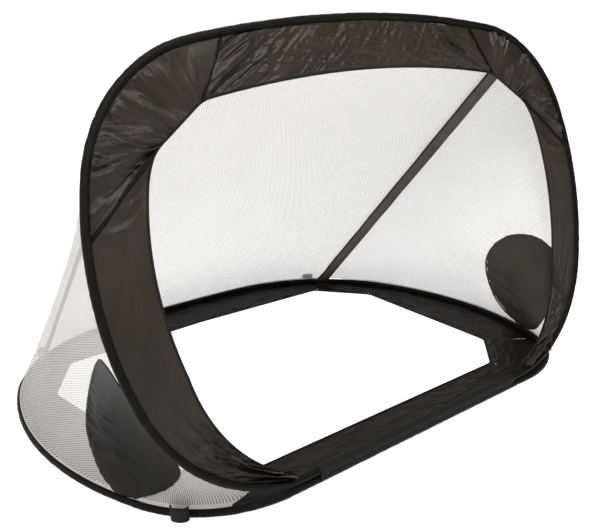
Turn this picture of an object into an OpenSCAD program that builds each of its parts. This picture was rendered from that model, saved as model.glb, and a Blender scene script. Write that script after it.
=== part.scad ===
// Pop-up goal: a front hoop hinged along the front edge of a hoop that lies on the ground,
// with mesh at the back and sides, and two strut rods at the rear corners.
// Millimetres. X runs across the mouth, Y to the rear and Z up from the ground.

/* [Goal] */
// Width over the sleeves
goal_w = 1200; // [1100:10:1320]
// Depth on the ground, over the sleeves
goal_d = 970; // [900:5:1010]
// Length of the front hoop from its hinged edge to its crown, over the sleeve
hoop_h = 779.5; // [715:0.5:850]
// Backward lean of the front hoop when the goal stands, in degrees
lean = 13; // [6:1:20]

/* [Front hoop outline] */
// Radius of the lower corners
front_low_r = 290; // [250:5:330]
// Direction of the outline where the lower corner ends and the side begins, in degrees
front_low_to = 72; // [66:1:78]
// Radius of the sides
front_side_r = 610; // [560:10:660]
// Direction of the outline where the side ends and the upper corner begins, in degrees
front_side_to = 105; // [97:1:112]
// Direction of the outline where the upper corner ends and the crown begins, in degrees
front_crown_from = 171; // [169:0.5:173]

/* [Base hoop outline] */
// Radius of the front corners
base_front_r = 225; // [195:5:255]
// Direction of the outline where the front corner ends and the side begins, in degrees
base_front_to = 68; // [63:1:74]
// Radius of the sides
base_side_r = 750; // [690:10:810]
// Direction of the outline where the side ends and the rear corner begins, in degrees
base_side_to = 112; // [105:1:118]
// Direction of the outline where the rear corner ends and the rear edge begins, in degrees
base_rear_from = 176; // [174:0.5:177]

/* [Spring hoops and sleeves] */
// Width of the spring steel strip
wire_w = 8.4; // [6:0.2:11]
// Thickness of the spring steel strip
wire_t = 1.2; // [0.8:0.1:2]
// Length of the ferrule that joins the ends of a strip
ferrule_l = 40; // [25:1:60]
// Wall of the ferrule
ferrule_wall = 0.5; // [0.4:0.1:1]
// Room between the ferrule and the sleeve
ferrule_play = 0.25; // [0.15:0.05:0.5]
// Wall of the fabric sleeve
sleeve_wall = 2.1; // [1.2:0.1:3]
// How far the sleeve's seam allowance reaches in from the middle of the sleeve
seam_reach = 20; // [15:0.5:26]
// Thickness of the seam allowance
seam_t = 1.6; // [0.8:0.1:2]

/* [Fabric panels] */
// Thickness of the panels and bands
panel_t = 1.6; // [0.8:0.1:2]
// Gap between the sleeve and the edge of a panel
panel_gap = 0.75; // [0.3:0.05:0.9]
// Width of the front hoop's side panels
front_side_w = 95; // [75:1:115]
// Width of the front hoop's top panel
front_top_w = 92; // [75:1:115]
// Direction of the hoop at the seam of a side panel, at the hoop, in degrees
front_seam_low = 97; // [90:0.5:110]
// Direction of the hoop at the lower corner of the mouth's cut-off corner, in degrees
mouth_corner_low = 126; // [118:0.5:134]
// Direction of the hoop at the upper corner of the mouth's cut-off corner, in degrees
mouth_corner_top = 167; // [160:0.5:170]
// Direction of the hoop at the seam of the top panel, at the hoop, in degrees
front_seam_top = 172.5; // [171:0.5:176]
// Width of the base's front band
base_front_w = 105; // [85:1:125]
// Width of the base's side bands at their front end
base_side_w = 113; // [90:1:130]
// Width of the base's side bands at their rear end
base_side_rear_w = 72; // [55:1:90]
// Width of the base's rear band at its ends
base_rear_end_w = 70; // [55:1:90]
// Width of the base's rear band in the middle
base_rear_w = 140; // [120:1:160]
// Width of the binding along the mouth and the base's opening
binding_w = 5; // [3:0.5:8]
// Thickness of the binding
binding_t = 3; // [2:0.2:4]

/* [Hinge tape] */
// Thickness of the tape that holds the two sleeves together
tape_t = 1; // [0.6:0.1:2]
// Room between the tape and the front hoop's sleeve
tape_gap = 0.3; // [0.3:0.05:0.6]
// Distance from each end of the tape to the end of the hoop's straight edge
tape_end = 17; // [5:1:60]

/* [Peg loops] */
// Height of the webbing
peg_web_h = 25; // [15:1:26]
// Thickness of the webbing
peg_web_t = 1.8; // [1.2:0.1:2.5]
// Length of a loop along the hoop
peg_loop_l = 31; // [24:1:38]
// How far a loop stands out from the sleeve
peg_loop_out = 20; // [18:1:30]
// Direction of the base hoop at the front loops, in degrees
peg_front_at = 48; // [30:1:58]
// Direction of the base hoop at the rear loops, in degrees
peg_rear_at = 142; // [141.5:0.5:160]

/* [Struts] */
// Width of the strut's sleeve
strut_w = 23; // [18:1:30]
// Wall of the strut's sleeve
strut_wall = 1.2; // [0.8:0.1:2]
// Diameter of the strut rod
rod_d = 4.5; // [3:0.25:6]
// Room round the rod in its sleeve
rod_play = 0.2; // [0.1:0.05:0.5]
// Direction of the base hoop at the strut's foot, in degrees
strut_foot_at = 135; // [130:0.5:135.5]
// Direction of the front hoop at the strut's head, in degrees
strut_head_at = 148; // [142:0.5:152]
// How far the strut's middle lies inside the hoops
strut_in = 15; // [14:0.5:20]
// Turn of the strut's flat face towards the inside of the goal, in degrees
strut_turn = 45; // [30:1:60]
// Thickness of the tabs that hold the strut
tab_t = 1.6; // [1:0.1:2]
// Length of the tabs along the hoops
tab_l = 36; // [28:1:38]
// How far the tabs reach in from the middle of the sleeves
tab_reach = 42; // [30:1:55]

/* [Nets and patches] */
// Thickness of the mesh
net_t = 1.2; // [0.8:0.1:2]
// How far the side nets draw in between the two hoops
side_draw = 50; // [0:5:60]
// Depth of the side nets' folds
side_fold = 7; // [0:0.5:10]
// Number of folds in a side net
side_folds = 3; // [1:1:5]
// Depth of the back net's folds
back_fold = 4; // [0:0.5:8]
// Number of folds in the back net
back_folds = 5; // [1:1:8]
// Radius of the round patches
patch_r = 112; // [80:1:113]
// Thickness of the patches
patch_t = 1.2; // [0.8:0.1:2]
// Distance from the front edge back to the middle of a patch
patch_y = 170; // [155:1:240]
// Height of the middle of a patch above the ground
patch_z = 140; // [139:1:180]

/* [Hidden] */

$fn = 48;
// Clearance of pieces that are sewn or pushed onto each other
fit = 0.05;
// Gap between a soft piece and what it is sewn to
soft_gap = 0.35;
// Room between a patch and its net, whose faces are flat from point to point
patch_gap = 1.6;
// Overlap of the lengths that a sleeve or a strip is made of, and how much thinner the inner is
lap_l = 3;
lap = 0.15;
// Width of a side panel's tip beyond the edge of the sleeve
panel_tip = 4;
// Greatest distance of a long arc's chords from the arc
max_sag = 0.03;
// Longest step of an outline's direction from point to point, in degrees
step = 3;
// Share of a net's length that is left open at the line where two nets meet
net_split = 0.003;
// Share of a side net's length that is left open at the hinge
net_start = 0.03;
// Counts of points along and across the nets, and along a patch's side
net_rows = 24;
net_columns = 13;
back_rows = 32;
patch_rows = 9;

ferrule_w = wire_w + 2*(fit + ferrule_wall);
ferrule_t = wire_t + 2*(fit + ferrule_wall);
sleeve_bore_r = norm([ferrule_w, ferrule_t])/2 + ferrule_play;
sleeve_r = sleeve_bore_r + sleeve_wall;
tape_r = sleeve_r + tape_gap + tape_t;
// Distance between the middles of the two sleeves at the hinge
hinge_up = 2*sleeve_r + tape_t + tape_gap;
hinge_y = tape_r - goal_d/2;
hinge_z = sleeve_r + hinge_up;
// Distance from the middle of a sleeve to the edge of the panels
panel_in = sleeve_r + panel_gap;
// Top of the seam allowance, from the middle of each sleeve
base_seam_z = panel_t - sleeve_r;
front_seam_z = -panel_t/2 - seam_t;
strap_r = sleeve_r + fit + tab_t;
net_z = sleeve_r + strap_r + soft_gap + net_t/2;
net_n = -sleeve_r - soft_gap - net_t/2;

// A hoop's right half, as four arcs that run into each other: [middle, radius, from, to].
// The direction is 0 along the front or bottom edge, 90 on the side and 180 at the far end.
// The last two radii close the outline at its length and on the middle line.
function hoop(half_w, length, r1, a1, r2, a2, a3) =
    let (x0 = half_w - r1*sin(a1) - r2*(1 - sin(a1)),
         p = -x0 - r1*sin(a1) - r2*(sin(a2) - sin(a1)),
         q = length - r1*(1 - cos(a1)) - r2*(cos(a1) - cos(a2)),
         sx = sin(a3) - sin(a2),
         sy = cos(a2) - cos(a3),
         det = sx*(1 + cos(a3)) + sin(a3)*sy,
         r3 = (p*(1 + cos(a3)) + sin(a3)*q)/det,
         r4 = (sx*q - sy*p)/det,
         c1 = [x0, r1],
         c2 = c1 + (r1 - r2)*normal(a1),
         c3 = c2 + (r2 - r3)*normal(a2))
    [[c1, r1, 0, a1], [c2, r2, a1, a2], [c3, r3, a2, a3], [[0, length - r4], r4, a3, 180]];

// Outward normal of an outline where its direction is t
function normal(t) = [sin(t), -cos(t)];
function arc_at(h, t) = t <= h[0][3] ? h[0] : t <= h[1][3] ? h[1] : t <= h[2][3] ? h[2] : h[3];
// Point of a hoop where its direction is t, moved inwards by d
function at(h, t, d = 0) = let (a = arc_at(h, t)) a[0] + (a[1] - d)*normal(t);
function arc_end(a) = a[0].y - a[1]*cos(a[3]);
// Half width of a hoop at the distance y from its front or bottom edge
function half_width(h, y) =
    let (a = y <= arc_end(h[0]) ? h[0] : y <= arc_end(h[1]) ? h[1] : y <= arc_end(h[2]) ? h[2] : h[3])
    a[0].x + sqrt(max(0, pow(a[1], 2) - pow(y - a[0].y, 2)));
// Points of a hoop from one direction to another
function run(h, from, to, d = 0) =
    let (n = max(1, ceil(abs(to - from)/step)))
    [for (i = [0:n]) at(h, from + (to - from)*i/n, d)];
function backwards(pts) = [for (i = [len(pts) - 1:-1:0]) pts[i]];
// A run of points on the right half and its mirror image, from right to left
function across(pts) = concat(pts, [for (p = backwards(pts)) if (p.x > fit) [-p.x, p.y]]);

front = hoop(goal_w/2 - sleeve_r, hoop_h - 2*sleeve_r, front_low_r, front_low_to,
             front_side_r, front_side_to, front_crown_from);
base = hoop(goal_w/2 - sleeve_r, goal_d - tape_r - sleeve_r, base_front_r, base_front_to,
            base_side_r, base_side_to, base_rear_from);
front_straight = front[0][0].x;
base_straight = base[0][0].x;

// Place of a point of the front hoop's plane: u across, w up the hoop, n out of its face
function on_front(p, n) = [p.x,
                           hinge_y + p.y*sin(lean) - n*cos(lean),
                           hinge_z + p.y*cos(lean) + n*sin(lean)];
function on_base(p, z) = [p.x, hinge_y + p.y, z];

module in_base(z = 0) translate([0, hinge_y, z]) children();
module in_front() translate([0, hinge_y, hinge_z]) rotate([90 - lean, 0, 0]) children();
// Puts a piece on a hoop, with its X outwards and its Y along the hoop
module on_hoop(h, t) translate([at(h, t).x, at(h, t).y, 0]) rotate([0, 0, t - 90]) children();
module left_side() mirror([1, 0, 0]) children();

// Sweeps a flat profile (X outwards, Y up) along an arc of a hoop. $lap draws the profile in
// where its end is tucked into the next length.
module sweep_arc(a, from, to, $lap)
    translate([a[0].x, a[0].y, 0])
        rotate([0, 0, from - 90])
            rotate_extrude(angle = to - from, $fn = fineness(a[1]))
                translate([a[1], 0])
                    children();

// Count of sides that keeps a large circle within a small distance of its true curve
function fineness(r) = 4*ceil(PI*sqrt(r/max_sag)/4/sqrt(2));

// The same along a straight edge
module sweep_straight(length, $lap = 0)
    rotate([90, 0, -90])
        linear_extrude(length, center = true)
            children();

function lap_turn(a) = lap_l/a[1]*180/PI;

// Sweeps along a whole hoop, from a direction on its lower corners: the straight edge, the
// sides and the crown reach over the ends of the corners
module sweep(h, from = 0) {
    if (from == 0)
        sweep_straight(2*(h[0][0].x + lap_l)) children();
    sweep_arc(h[3], h[3][2] - lap_turn(h[3]), 360 - h[3][2] + lap_turn(h[3]), 0) children();
    for (side = [0, 1])
        mirror([side, 0, 0]) {
            sweep_arc(h[0], from, h[0][3], lap) children();
            sweep_arc(h[1], h[1][2] - lap_turn(h[1]), h[1][3] + lap_turn(h[1]), 0) children();
            sweep_arc(h[2], h[2][2], h[2][3], lap) children();
        }
}

// ---- Spring strips and ferrules

module strip_profile() square([wire_t - $lap, wire_w - $lap], center = true);
module wire(h) sweep(h) strip_profile();

module ferrule()
    difference() {
        cube([ferrule_l, ferrule_t, ferrule_w], center = true);
        cube([ferrule_l + 1, wire_t + 2*fit, wire_w + 2*fit], center = true);
    }

module front_wire() color("silver") in_front() wire(front);
module front_wire_ferrule() color("gray") in_front() ferrule();
module base_wire() color("silver") in_base(sleeve_r) wire(base);
module base_wire_ferrule() color("gray") in_base(sleeve_r) ferrule();

// ---- Sleeves

module tube_profile()
    difference() {
        circle(sleeve_r - $lap);
        circle(sleeve_bore_r - $lap);
    }

// The seam allowance runs into the sleeve's wall and stops short of its bore
function seam_root(z) =
    let (near = min(abs(z), abs(z + seam_t)))
    sqrt(max(0, pow(sleeve_bore_r, 2) - near*near)) + sleeve_wall/4;

module seam_profile(z)
    translate([$lap - seam_reach, z + $lap/2])
        square([seam_reach - seam_root(z) - 2*$lap, seam_t - $lap]);

front_panel_from = asin((panel_in + panel_tip)/front_side_w);

module front_sleeve()
    color("#1b1816") in_front() {
        sweep(front) tube_profile();
        sweep(front, front_panel_from) seam_profile(front_seam_z);
    }

module base_sleeve()
    color("#1b1816") in_base(sleeve_r) {
        sweep(base) tube_profile();
        sweep(base) seam_profile(base_seam_z);
    }

// ---- Panels round the mouth

// The side panels narrow to nothing towards the hinge
function front_in(t) = front_side_w*(t < 90 ? sin(t) : 1);
function front_edge(from, to, more) =
    let (n = ceil((to - from)/step))
    [for (i = [0:n]) let (t = from + (to - from)*i/n) at(front, t, front_in(t) + more)];

module front_panel(pts)
    color("#3c3733") in_front() linear_extrude(panel_t, center = true) polygon(pts);

module front_panel_side()
    front_panel(concat(run(front, front_panel_from, front_seam_low, panel_in),
                       backwards(front_edge(front_panel_from, mouth_corner_low, 0))));

module front_panel_corner()
    front_panel(concat(run(front, front_seam_low, front_seam_top, panel_in),
                       [at(front, mouth_corner_top, front_top_w),
                        at(front, mouth_corner_low, front_side_w)]));

module front_panel_top()
    front_panel(concat(across(run(front, front_seam_top, 180, panel_in)),
                       backwards(across(run(front, mouth_corner_top, 180, front_top_w)))));

module front_panel_right() front_panel_side();
module front_panel_left() left_side() front_panel_side();
module front_panel_corner_right() front_panel_corner();
module front_panel_corner_left() left_side() front_panel_corner();

// The binding starts where the edge of the mouth leaves the seam allowance
binding_from = asin((seam_reach + soft_gap)/front_side_w);
function mouth(more) =
    across(concat(front_edge(binding_from, mouth_corner_low, more),
                  run(front, mouth_corner_top, 180, front_top_w + more)));

module front_binding()
    color("#0f0d0c") in_front() linear_extrude(binding_t, center = true)
        polygon(concat(mouth(fit), backwards(mouth(fit + binding_w))));

// ---- Bands on the ground

// Directions of the base hoop at the seams, and at the opening's corners
base_seam_front = 8;
base_seam_side = 64;
base_seam_rear_side = 116;
base_seam_rear = 131;
open_front_at = 5;
open_side_at = 70;
open_rear_side_at = 110;
open_rear_at = 139;

function open_front(more = 0) = at(base, open_front_at, base_front_w + more);
function open_side(more = 0) = at(base, open_side_at, base_side_w + more);
function open_rear_side(more = 0) = at(base, open_rear_side_at, base_side_rear_w + more);
function open_rear(more = 0) = at(base, open_rear_at, base_rear_end_w + more);
function open_middle(more = 0) = at(base, 180, base_rear_w + more);
function base_opening(more) =
    across([open_front(more), open_side(more), open_rear_side(more), open_rear(more),
            open_middle(more)]);

module base_band(pts) color("#3c3733") in_base() linear_extrude(panel_t) polygon(pts);

module base_band_front()
    base_band(concat(across(run(base, base_seam_front, 0, panel_in)),
                     backwards(across([open_front()]))));

module base_band_rear()
    base_band(concat(across(run(base, base_seam_rear, 180, panel_in)),
                     backwards(across([open_rear(), open_middle()]))));

module base_band_side()
    base_band(concat(run(base, base_seam_side, base_seam_rear_side, panel_in),
                     [open_rear_side(), open_side()]));

module base_corner_front()
    base_band(concat(run(base, base_seam_front, base_seam_side, panel_in),
                     [open_side(), open_front()]));

module base_corner_rear()
    base_band(concat(run(base, base_seam_rear_side, base_seam_rear, panel_in),
                     [open_rear(), open_rear_side()]));

module base_band_right() base_band_side();
module base_band_left() left_side() base_band_side();
module base_corner_front_right() base_corner_front();
module base_corner_front_left() left_side() base_corner_front();
module base_corner_rear_right() base_corner_rear();
module base_corner_rear_left() left_side() base_corner_rear();

module base_binding()
    color("#0f0d0c") in_base() linear_extrude(binding_t)
        difference() {
            polygon(base_opening(fit));
            polygon(base_opening(fit + binding_w));
        }

// ---- Hinge tape

module upper_half(r) translate([-r, 0]) square([2*r, r]);

// A loop round the front hoop's sleeve, whose two edges are sewn down the base's sleeve
module hinge_tape()
    color("#141210") in_base(sleeve_r) sweep_straight(2*(front_straight - tape_end))
        difference() {
            union() {
                translate([0, hinge_up]) circle(tape_r);
                intersection() {
                    circle(sleeve_r + fit + tape_t);
                    upper_half(2*sleeve_r);
                }
            }
            translate([0, hinge_up]) circle(sleeve_r + tape_gap);
            circle(sleeve_r + fit);
        }

// ---- Peg loops

module loop_outline(wall) {
    r = peg_loop_l/2 - wall;
    middle = peg_loop_out - peg_loop_l/2;
    translate([middle, 0]) circle(r);
    translate([wall, -r]) square([max(middle, 0) - wall + fit, 2*r]);
}

module peg_loop(t)
    color("#141210") in_base() on_hoop(base, t) translate([sleeve_r + fit, 0, 0])
        linear_extrude(peg_web_h) difference() {
            intersection() {
                loop_outline(0);
                translate([0, -peg_loop_l]) square(2*peg_loop_l);
            }
            intersection() {
                loop_outline(peg_web_t);
                translate([peg_web_t, -peg_loop_l]) square(2*peg_loop_l);
            }
        }

module peg_loop_front_right() peg_loop(peg_front_at);
module peg_loop_front_left() left_side() peg_loop(peg_front_at);
module peg_loop_rear_right() peg_loop(peg_rear_at);
module peg_loop_rear_left() left_side() peg_loop(peg_rear_at);

// ---- Strut tabs, sleeves and rods

base_seam_top = base_seam_z + seam_t;

module foot_tab_profile()
    difference() {
        union() {
            intersection() {
                circle(strap_r);
                upper_half(2*strap_r);
            }
            translate([-strap_r, base_seam_top]) square([tab_t, -base_seam_top]);
            translate([-tab_reach, base_seam_top]) square([tab_reach - strap_r + tab_t, tab_t]);
        }
        circle(sleeve_r + fit);
    }

module strut_foot_tab() {
    a = arc_at(base, strut_foot_at);
    sweep_angle = tab_l/a[1]*180/PI;
    color("#141210") in_base(sleeve_r)
        translate([a[0].x, a[0].y, 0])
            rotate([0, 0, strut_foot_at - sweep_angle/2 - 90])
                rotate_extrude(angle = sweep_angle, $fn = fineness(a[1]))
                    translate([a[1], 0]) foot_tab_profile();
}

module strut_head_tab()
    color("#141210") in_front() on_hoop(front, strut_head_at)
        translate([-tab_reach, -tab_l/2, front_seam_z - tab_t])
            cube([tab_reach - panel_in, tab_l, tab_t]);

module strut_foot_tab_right() strut_foot_tab();
module strut_foot_tab_left() left_side() strut_foot_tab();
module strut_head_tab_right() strut_head_tab();
module strut_head_tab_left() left_side() strut_head_tab();

strut_foot_z = sleeve_r + strap_r + soft_gap;
strut_head_n = front_seam_z - tab_t - soft_gap;
strut_foot = on_base(at(base, strut_foot_at, strut_in), strut_foot_z);
strut_head = on_front(at(front, strut_head_at, strut_in), strut_head_n);
strut_run = strut_head - strut_foot;
strut_thick = rod_d + 2*(rod_play + strut_wall);

// Runs a profile up the strut's line, past both ends, and trims it at the foot and the head
module along_strut()
    difference() {
        translate(strut_foot)
            rotate([0, acos(strut_run.z/norm(strut_run)), atan2(strut_run.y, strut_run.x)])
                rotate([0, 0, strut_turn])
                    translate([0, 0, -2*strut_w])
                        linear_extrude(norm(strut_run) + 4*strut_w) children();
        translate([0, -goal_d, strut_foot_z - goal_w]) cube([goal_w, 2*goal_d, goal_w]);
        in_front() translate([0, 0, strut_head_n]) cube(2*goal_w);
    }

module strut_sleeve()
    color("#57514b") along_strut() difference() {
        union() {
            square([strut_w - strut_thick, strut_thick], center = true);
            for (side = [-1, 1]) translate([side*(strut_w - strut_thick)/2, 0])
                circle(strut_thick/2);
        }
        circle(rod_d/2 + rod_play);
    }

module strut_rod() color("#2a2a2c") along_strut() circle(rod_d/2);

module strut_sleeve_right() strut_sleeve();
module strut_sleeve_left() left_side() strut_sleeve();
module strut_rod_right() strut_rod();
module strut_rod_left() left_side() strut_rod();

// ---- Nets and patches

head_w = at(front, strut_head_at).y;
foot_y = at(base, strut_foot_at).y;

// Point of the right side net: k from 0 at the hinge to 1 at the strut, s from hoop to base
function side_point(k, s) =
    let (p = [half_width(front, k*head_w), k*head_w],
         q = [half_width(base, k*foot_y), k*foot_y],
         fold = side_fold*sin(360*side_folds*k)*pow(sin(180*s)*sin(180*k), 2),
         draw = side_draw*sin(180*s)*pow(sin(180*k), 0.7))
    (1 - s)*on_front(p, net_n) + s*on_base(q, net_z) + [fold - draw, 0, 0];

// Point of the back net: k from -1 at the left strut to 1 at the right one, s from hoop to base
function back_point(k, s) =
    let (side = k < 0 ? -1 : 1,
         p = at(front, 180 - (180 - strut_head_at)*abs(k)),
         q = at(base, 180 - (180 - strut_foot_at)*abs(k)),
         fold = back_fold*cos(180*back_folds*k)*pow(sin(180*s), 2)*(1 - k*k))
    (1 - s)*on_front([side*p.x, p.y], net_n) + s*on_base([side*q.x, q.y], net_z) + [0, fold, 0];

// A grid of points as a sheet with a thickness, lifted off the grid's surface
module sheet(grid, t, lift = 0) {
    m = len(grid);
    n = len(grid[0]);
    function face_normal(i, j) =
        let (along = grid[min(i + 1, m - 1)][j] - grid[max(i - 1, 0)][j],
             over = grid[i][min(j + 1, n - 1)] - grid[i][max(j - 1, 0)],
             c = cross(along, over))
        c/norm(c);
    function skin(h) = [for (i = [0:m - 1]) for (j = [0:n - 1]) grid[i][j] + h*face_normal(i, j)];
    function quad(a, b, c, d) = [[a, b, c], [a, c, d]];
    rim = concat([for (j = [0:n - 2]) j],
                 [for (i = [0:m - 2]) i*n + n - 1],
                 [for (j = [n - 1:-1:1]) (m - 1)*n + j],
                 [for (i = [m - 1:-1:1]) i*n]);
    top = m*n;
    polyhedron(
        concat(skin(lift - t/2), skin(lift + t/2)),
        concat([for (i = [0:m - 2]) for (j = [0:n - 2])
                   each quad(i*n + j, (i + 1)*n + j, (i + 1)*n + j + 1, i*n + j + 1)],
               [for (i = [0:m - 2]) for (j = [0:n - 2])
                   each quad(top + i*n + j, top + i*n + j + 1, top + (i + 1)*n + j + 1,
                             top + (i + 1)*n + j)],
               [for (e = [0:len(rim) - 1]) let (a = rim[e], b = rim[(e + 1) % len(rim)])
                   each quad(a, b, top + b, top + a)]));
}

// The rows of a side net lie closer together towards the hinge, where it curves most
function side_row(i) = net_start + (1 - net_split - net_start)*pow(i/(net_rows - 1), 1.6);

module net_side()
    color("#f4f2ef") sheet([for (i = [0:net_rows - 1]) [for (j = [0:net_columns - 1])
                               side_point(side_row(i), j/(net_columns - 1))]], net_t);

module net_back()
    color("#f4f2ef") sheet([for (i = [0:back_rows - 1]) [for (j = [0:net_columns - 1])
                               back_point((2*i/(back_rows - 1) - 1)*(1 - net_split),
                                          j/(net_columns - 1))]], net_t);

// A patch lies on the outside of its net. y and z are seen from the side of the goal.
function patch_point(y, z) =
    let (up = (z - hinge_z)/(head_w*cos(lean)),
         along = (y - up*head_w*sin(lean))/foot_y)
    side_point(up + along, along/(up + along));

// A square grid of points drawn in to a disc
module patch()
    color("#4b4643") sheet([for (i = [0:patch_rows - 1]) [for (j = [0:patch_rows - 1])
        let (a = 2*i/(patch_rows - 1) - 1, b = 2*j/(patch_rows - 1) - 1)
        patch_point(patch_y + patch_r*b*sqrt(1 - a*a/2), patch_z + patch_r*a*sqrt(1 - b*b/2))]],
        patch_t, -(net_t/2 + patch_gap + patch_t/2));

module net_side_right() net_side();
module net_side_left() left_side() net_side();
module patch_right() patch();
module patch_left() left_side() patch();

front_wire();
front_wire_ferrule();
front_sleeve();
front_panel_top();
front_panel_left();
front_panel_right();
front_panel_corner_left();
front_panel_corner_right();
front_binding();
strut_head_tab_left();
strut_head_tab_right();
base_wire();
base_wire_ferrule();
base_sleeve();
base_band_front();
base_band_rear();
base_band_left();
base_band_right();
base_corner_front_left();
base_corner_front_right();
base_corner_rear_left();
base_corner_rear_right();
base_binding();
hinge_tape();
strut_foot_tab_left();
strut_foot_tab_right();
peg_loop_front_left();
peg_loop_front_right();
peg_loop_rear_left();
peg_loop_rear_right();
net_back();
net_side_left();
net_side_right();
patch_left();
patch_right();
strut_sleeve_left();
strut_sleeve_right();
strut_rod_left();
strut_rod_right();
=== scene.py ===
import math

import bmesh
import bpy
import numpy as np
from bpy.props import FloatProperty, FloatVectorProperty, IntProperty, PointerProperty
from mathutils import Matrix, Vector


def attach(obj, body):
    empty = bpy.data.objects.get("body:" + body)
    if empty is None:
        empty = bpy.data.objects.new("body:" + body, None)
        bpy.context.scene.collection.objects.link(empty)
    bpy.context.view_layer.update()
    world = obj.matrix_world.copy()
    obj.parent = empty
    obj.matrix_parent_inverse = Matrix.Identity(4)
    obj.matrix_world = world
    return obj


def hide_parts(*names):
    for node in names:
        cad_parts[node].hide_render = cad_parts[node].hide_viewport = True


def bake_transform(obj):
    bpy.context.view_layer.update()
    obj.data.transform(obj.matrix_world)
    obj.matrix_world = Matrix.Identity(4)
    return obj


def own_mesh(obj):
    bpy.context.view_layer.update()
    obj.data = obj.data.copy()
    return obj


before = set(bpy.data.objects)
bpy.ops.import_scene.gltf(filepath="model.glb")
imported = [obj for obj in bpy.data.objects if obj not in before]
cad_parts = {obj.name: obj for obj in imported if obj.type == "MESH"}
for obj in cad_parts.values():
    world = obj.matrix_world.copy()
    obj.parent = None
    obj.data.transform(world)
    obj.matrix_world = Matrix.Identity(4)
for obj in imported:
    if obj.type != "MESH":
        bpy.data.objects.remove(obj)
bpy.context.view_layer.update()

bl_info = {
    "name": "Pop-up goal fabric",
    "version": (1, 0, 0),
    "blender": (4, 5, 0),
    "location": "View3D > Sidebar > Goal",
    "description": "Sews the cloth, mesh and webbing of a pop-up goal round its spring hoops",
    "category": "Add Mesh",
}

SIDES = {"right": 1, "left": -1}


# ---- Sizes, folds and colours

def size(name, description, default):
    return FloatProperty(name=name, description=description, default=default, unit="LENGTH")


def turn(name, description, degrees):
    return FloatProperty(name=name, description=description, default=math.radians(degrees),
                         unit="ROTATION", subtype="ANGLE")


def colour(name, description, default):
    return FloatVectorProperty(name=name, description=description, default=default,
                               subtype="COLOR", size=3, min=0, max=1)


class GoalSizes(bpy.types.PropertyGroup):
    """Sizes of the hoops and of the pieces sewn to them"""
    width: size("Width", "Width over the sleeves", 1.2)
    depth: size("Depth", "Depth on the ground, over the sleeves", 0.97)
    hoop_length: size("Hoop length", "Front hoop from its hinged edge to its crown", 0.7795)
    lean: turn("Lean", "Backward lean of the front hoop", 13)
    sleeve_radius: size("Sleeve radius", "Outer radius of the hoops' sleeves", 0.00724)
    seam_reach: size("Seam reach", "Reach of the seam allowance from the hoop", 0.02)
    panel_thickness: size("Panel thickness", "Thickness of a panel with its hems", 0.0016)
    cloth_thickness: size("Cloth thickness", "Thickness of one layer of cloth", 0.0006)
    side_panel: size("Side panel", "Width of the front hoop's side panels", 0.095)
    top_panel: size("Top panel", "Width of the front hoop's top panel", 0.092)
    front_band: size("Front band", "Width of the base's front band", 0.105)
    side_band: size("Side band", "Width of the base's side bands, at the front", 0.113)
    side_band_rear: size("Side band, rear", "Width of the base's side bands, at the rear", 0.072)
    rear_band_end: size("Rear band end", "Width of the rear band at its ends", 0.07)
    rear_band: size("Rear band", "Width of the rear band in the middle", 0.14)
    corner_round: size("Corner rounding", "Reach of the rounding at the mouth's corners", 0.015)
    binding_width: size("Binding width", "Width of the binding along an edge", 0.005)
    binding_thickness: size("Binding thickness", "Thickness of the binding", 0.003)
    webbing_height: size("Webbing height", "Height of the peg loops' webbing", 0.025)
    webbing_thickness: size("Webbing thickness", "Thickness of the webbing", 0.0018)
    loop_length: size("Loop length", "Length of a peg loop along the hoop", 0.031)
    loop_out: size("Loop reach", "How far a peg loop stands out from the sleeve", 0.02)
    strut_width: size("Strut width", "Width of a strut's sleeve", 0.028)
    strut_flare: size("Strut flare", "Extra width of a strut's sleeve at its ends", 0.005)
    strut_thickness: size("Strut thickness", "Thickness of a strut's sleeve", 0.0073)
    rod: size("Rod", "Diameter of a strut's rod", 0.0045)
    tab_length: size("Tab length", "Length of the strut tabs along the hoops", 0.036)
    tab_reach: size("Tab reach", "How far the strut tabs reach in from the hoops", 0.042)
    tab_thickness: size("Tab thickness", "Thickness of the strut tabs", 0.0016)
    net_draw: size("Net draw", "How far the side nets draw in between the hoops", 0.05)
    patch_radius: size("Patch radius", "Radius of the round patches", 0.117)
    patch_back: size("Patch place", "From the front edge back to a patch's middle", 0.17)
    patch_height: size("Patch height", "Height of a patch's middle above the ground", 0.14)
    patch_hem: size("Patch hem", "Width of the patches' stitched hem", 0.008)
    mesh_pitch: size("Mesh pitch", "Distance between the holes of the mesh", 0.0036)


class GoalFolds(bpy.types.PropertyGroup):
    """How deep the cloth folds"""
    gather: size("Gathers", "Depth of the gathers at the corners' sleeve edge", 0.0092)
    crease: size("Creases", "Depth of the creases along the panels", 0.0052)
    slack: size("Slack", "Depth of the slack folds at the lower corners", 0.0165)
    band: size("Band creases", "Depth of the creases in the ground bands", 0.005)
    pucker: size("Puckers", "Depth of the puckers in the sleeves", 0.0007)
    side_fold: size("Side net folds", "Depth of the side nets' folds", 0.007)
    back_fold: size("Back net folds", "Depth of the back net's folds", 0.004)
    net_ripple: size("Net ripples", "Depth of the small ripples in the nets", 0.0008)
    seed: IntProperty(name="Seed", description="Picks another set of creases", default=7)


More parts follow.
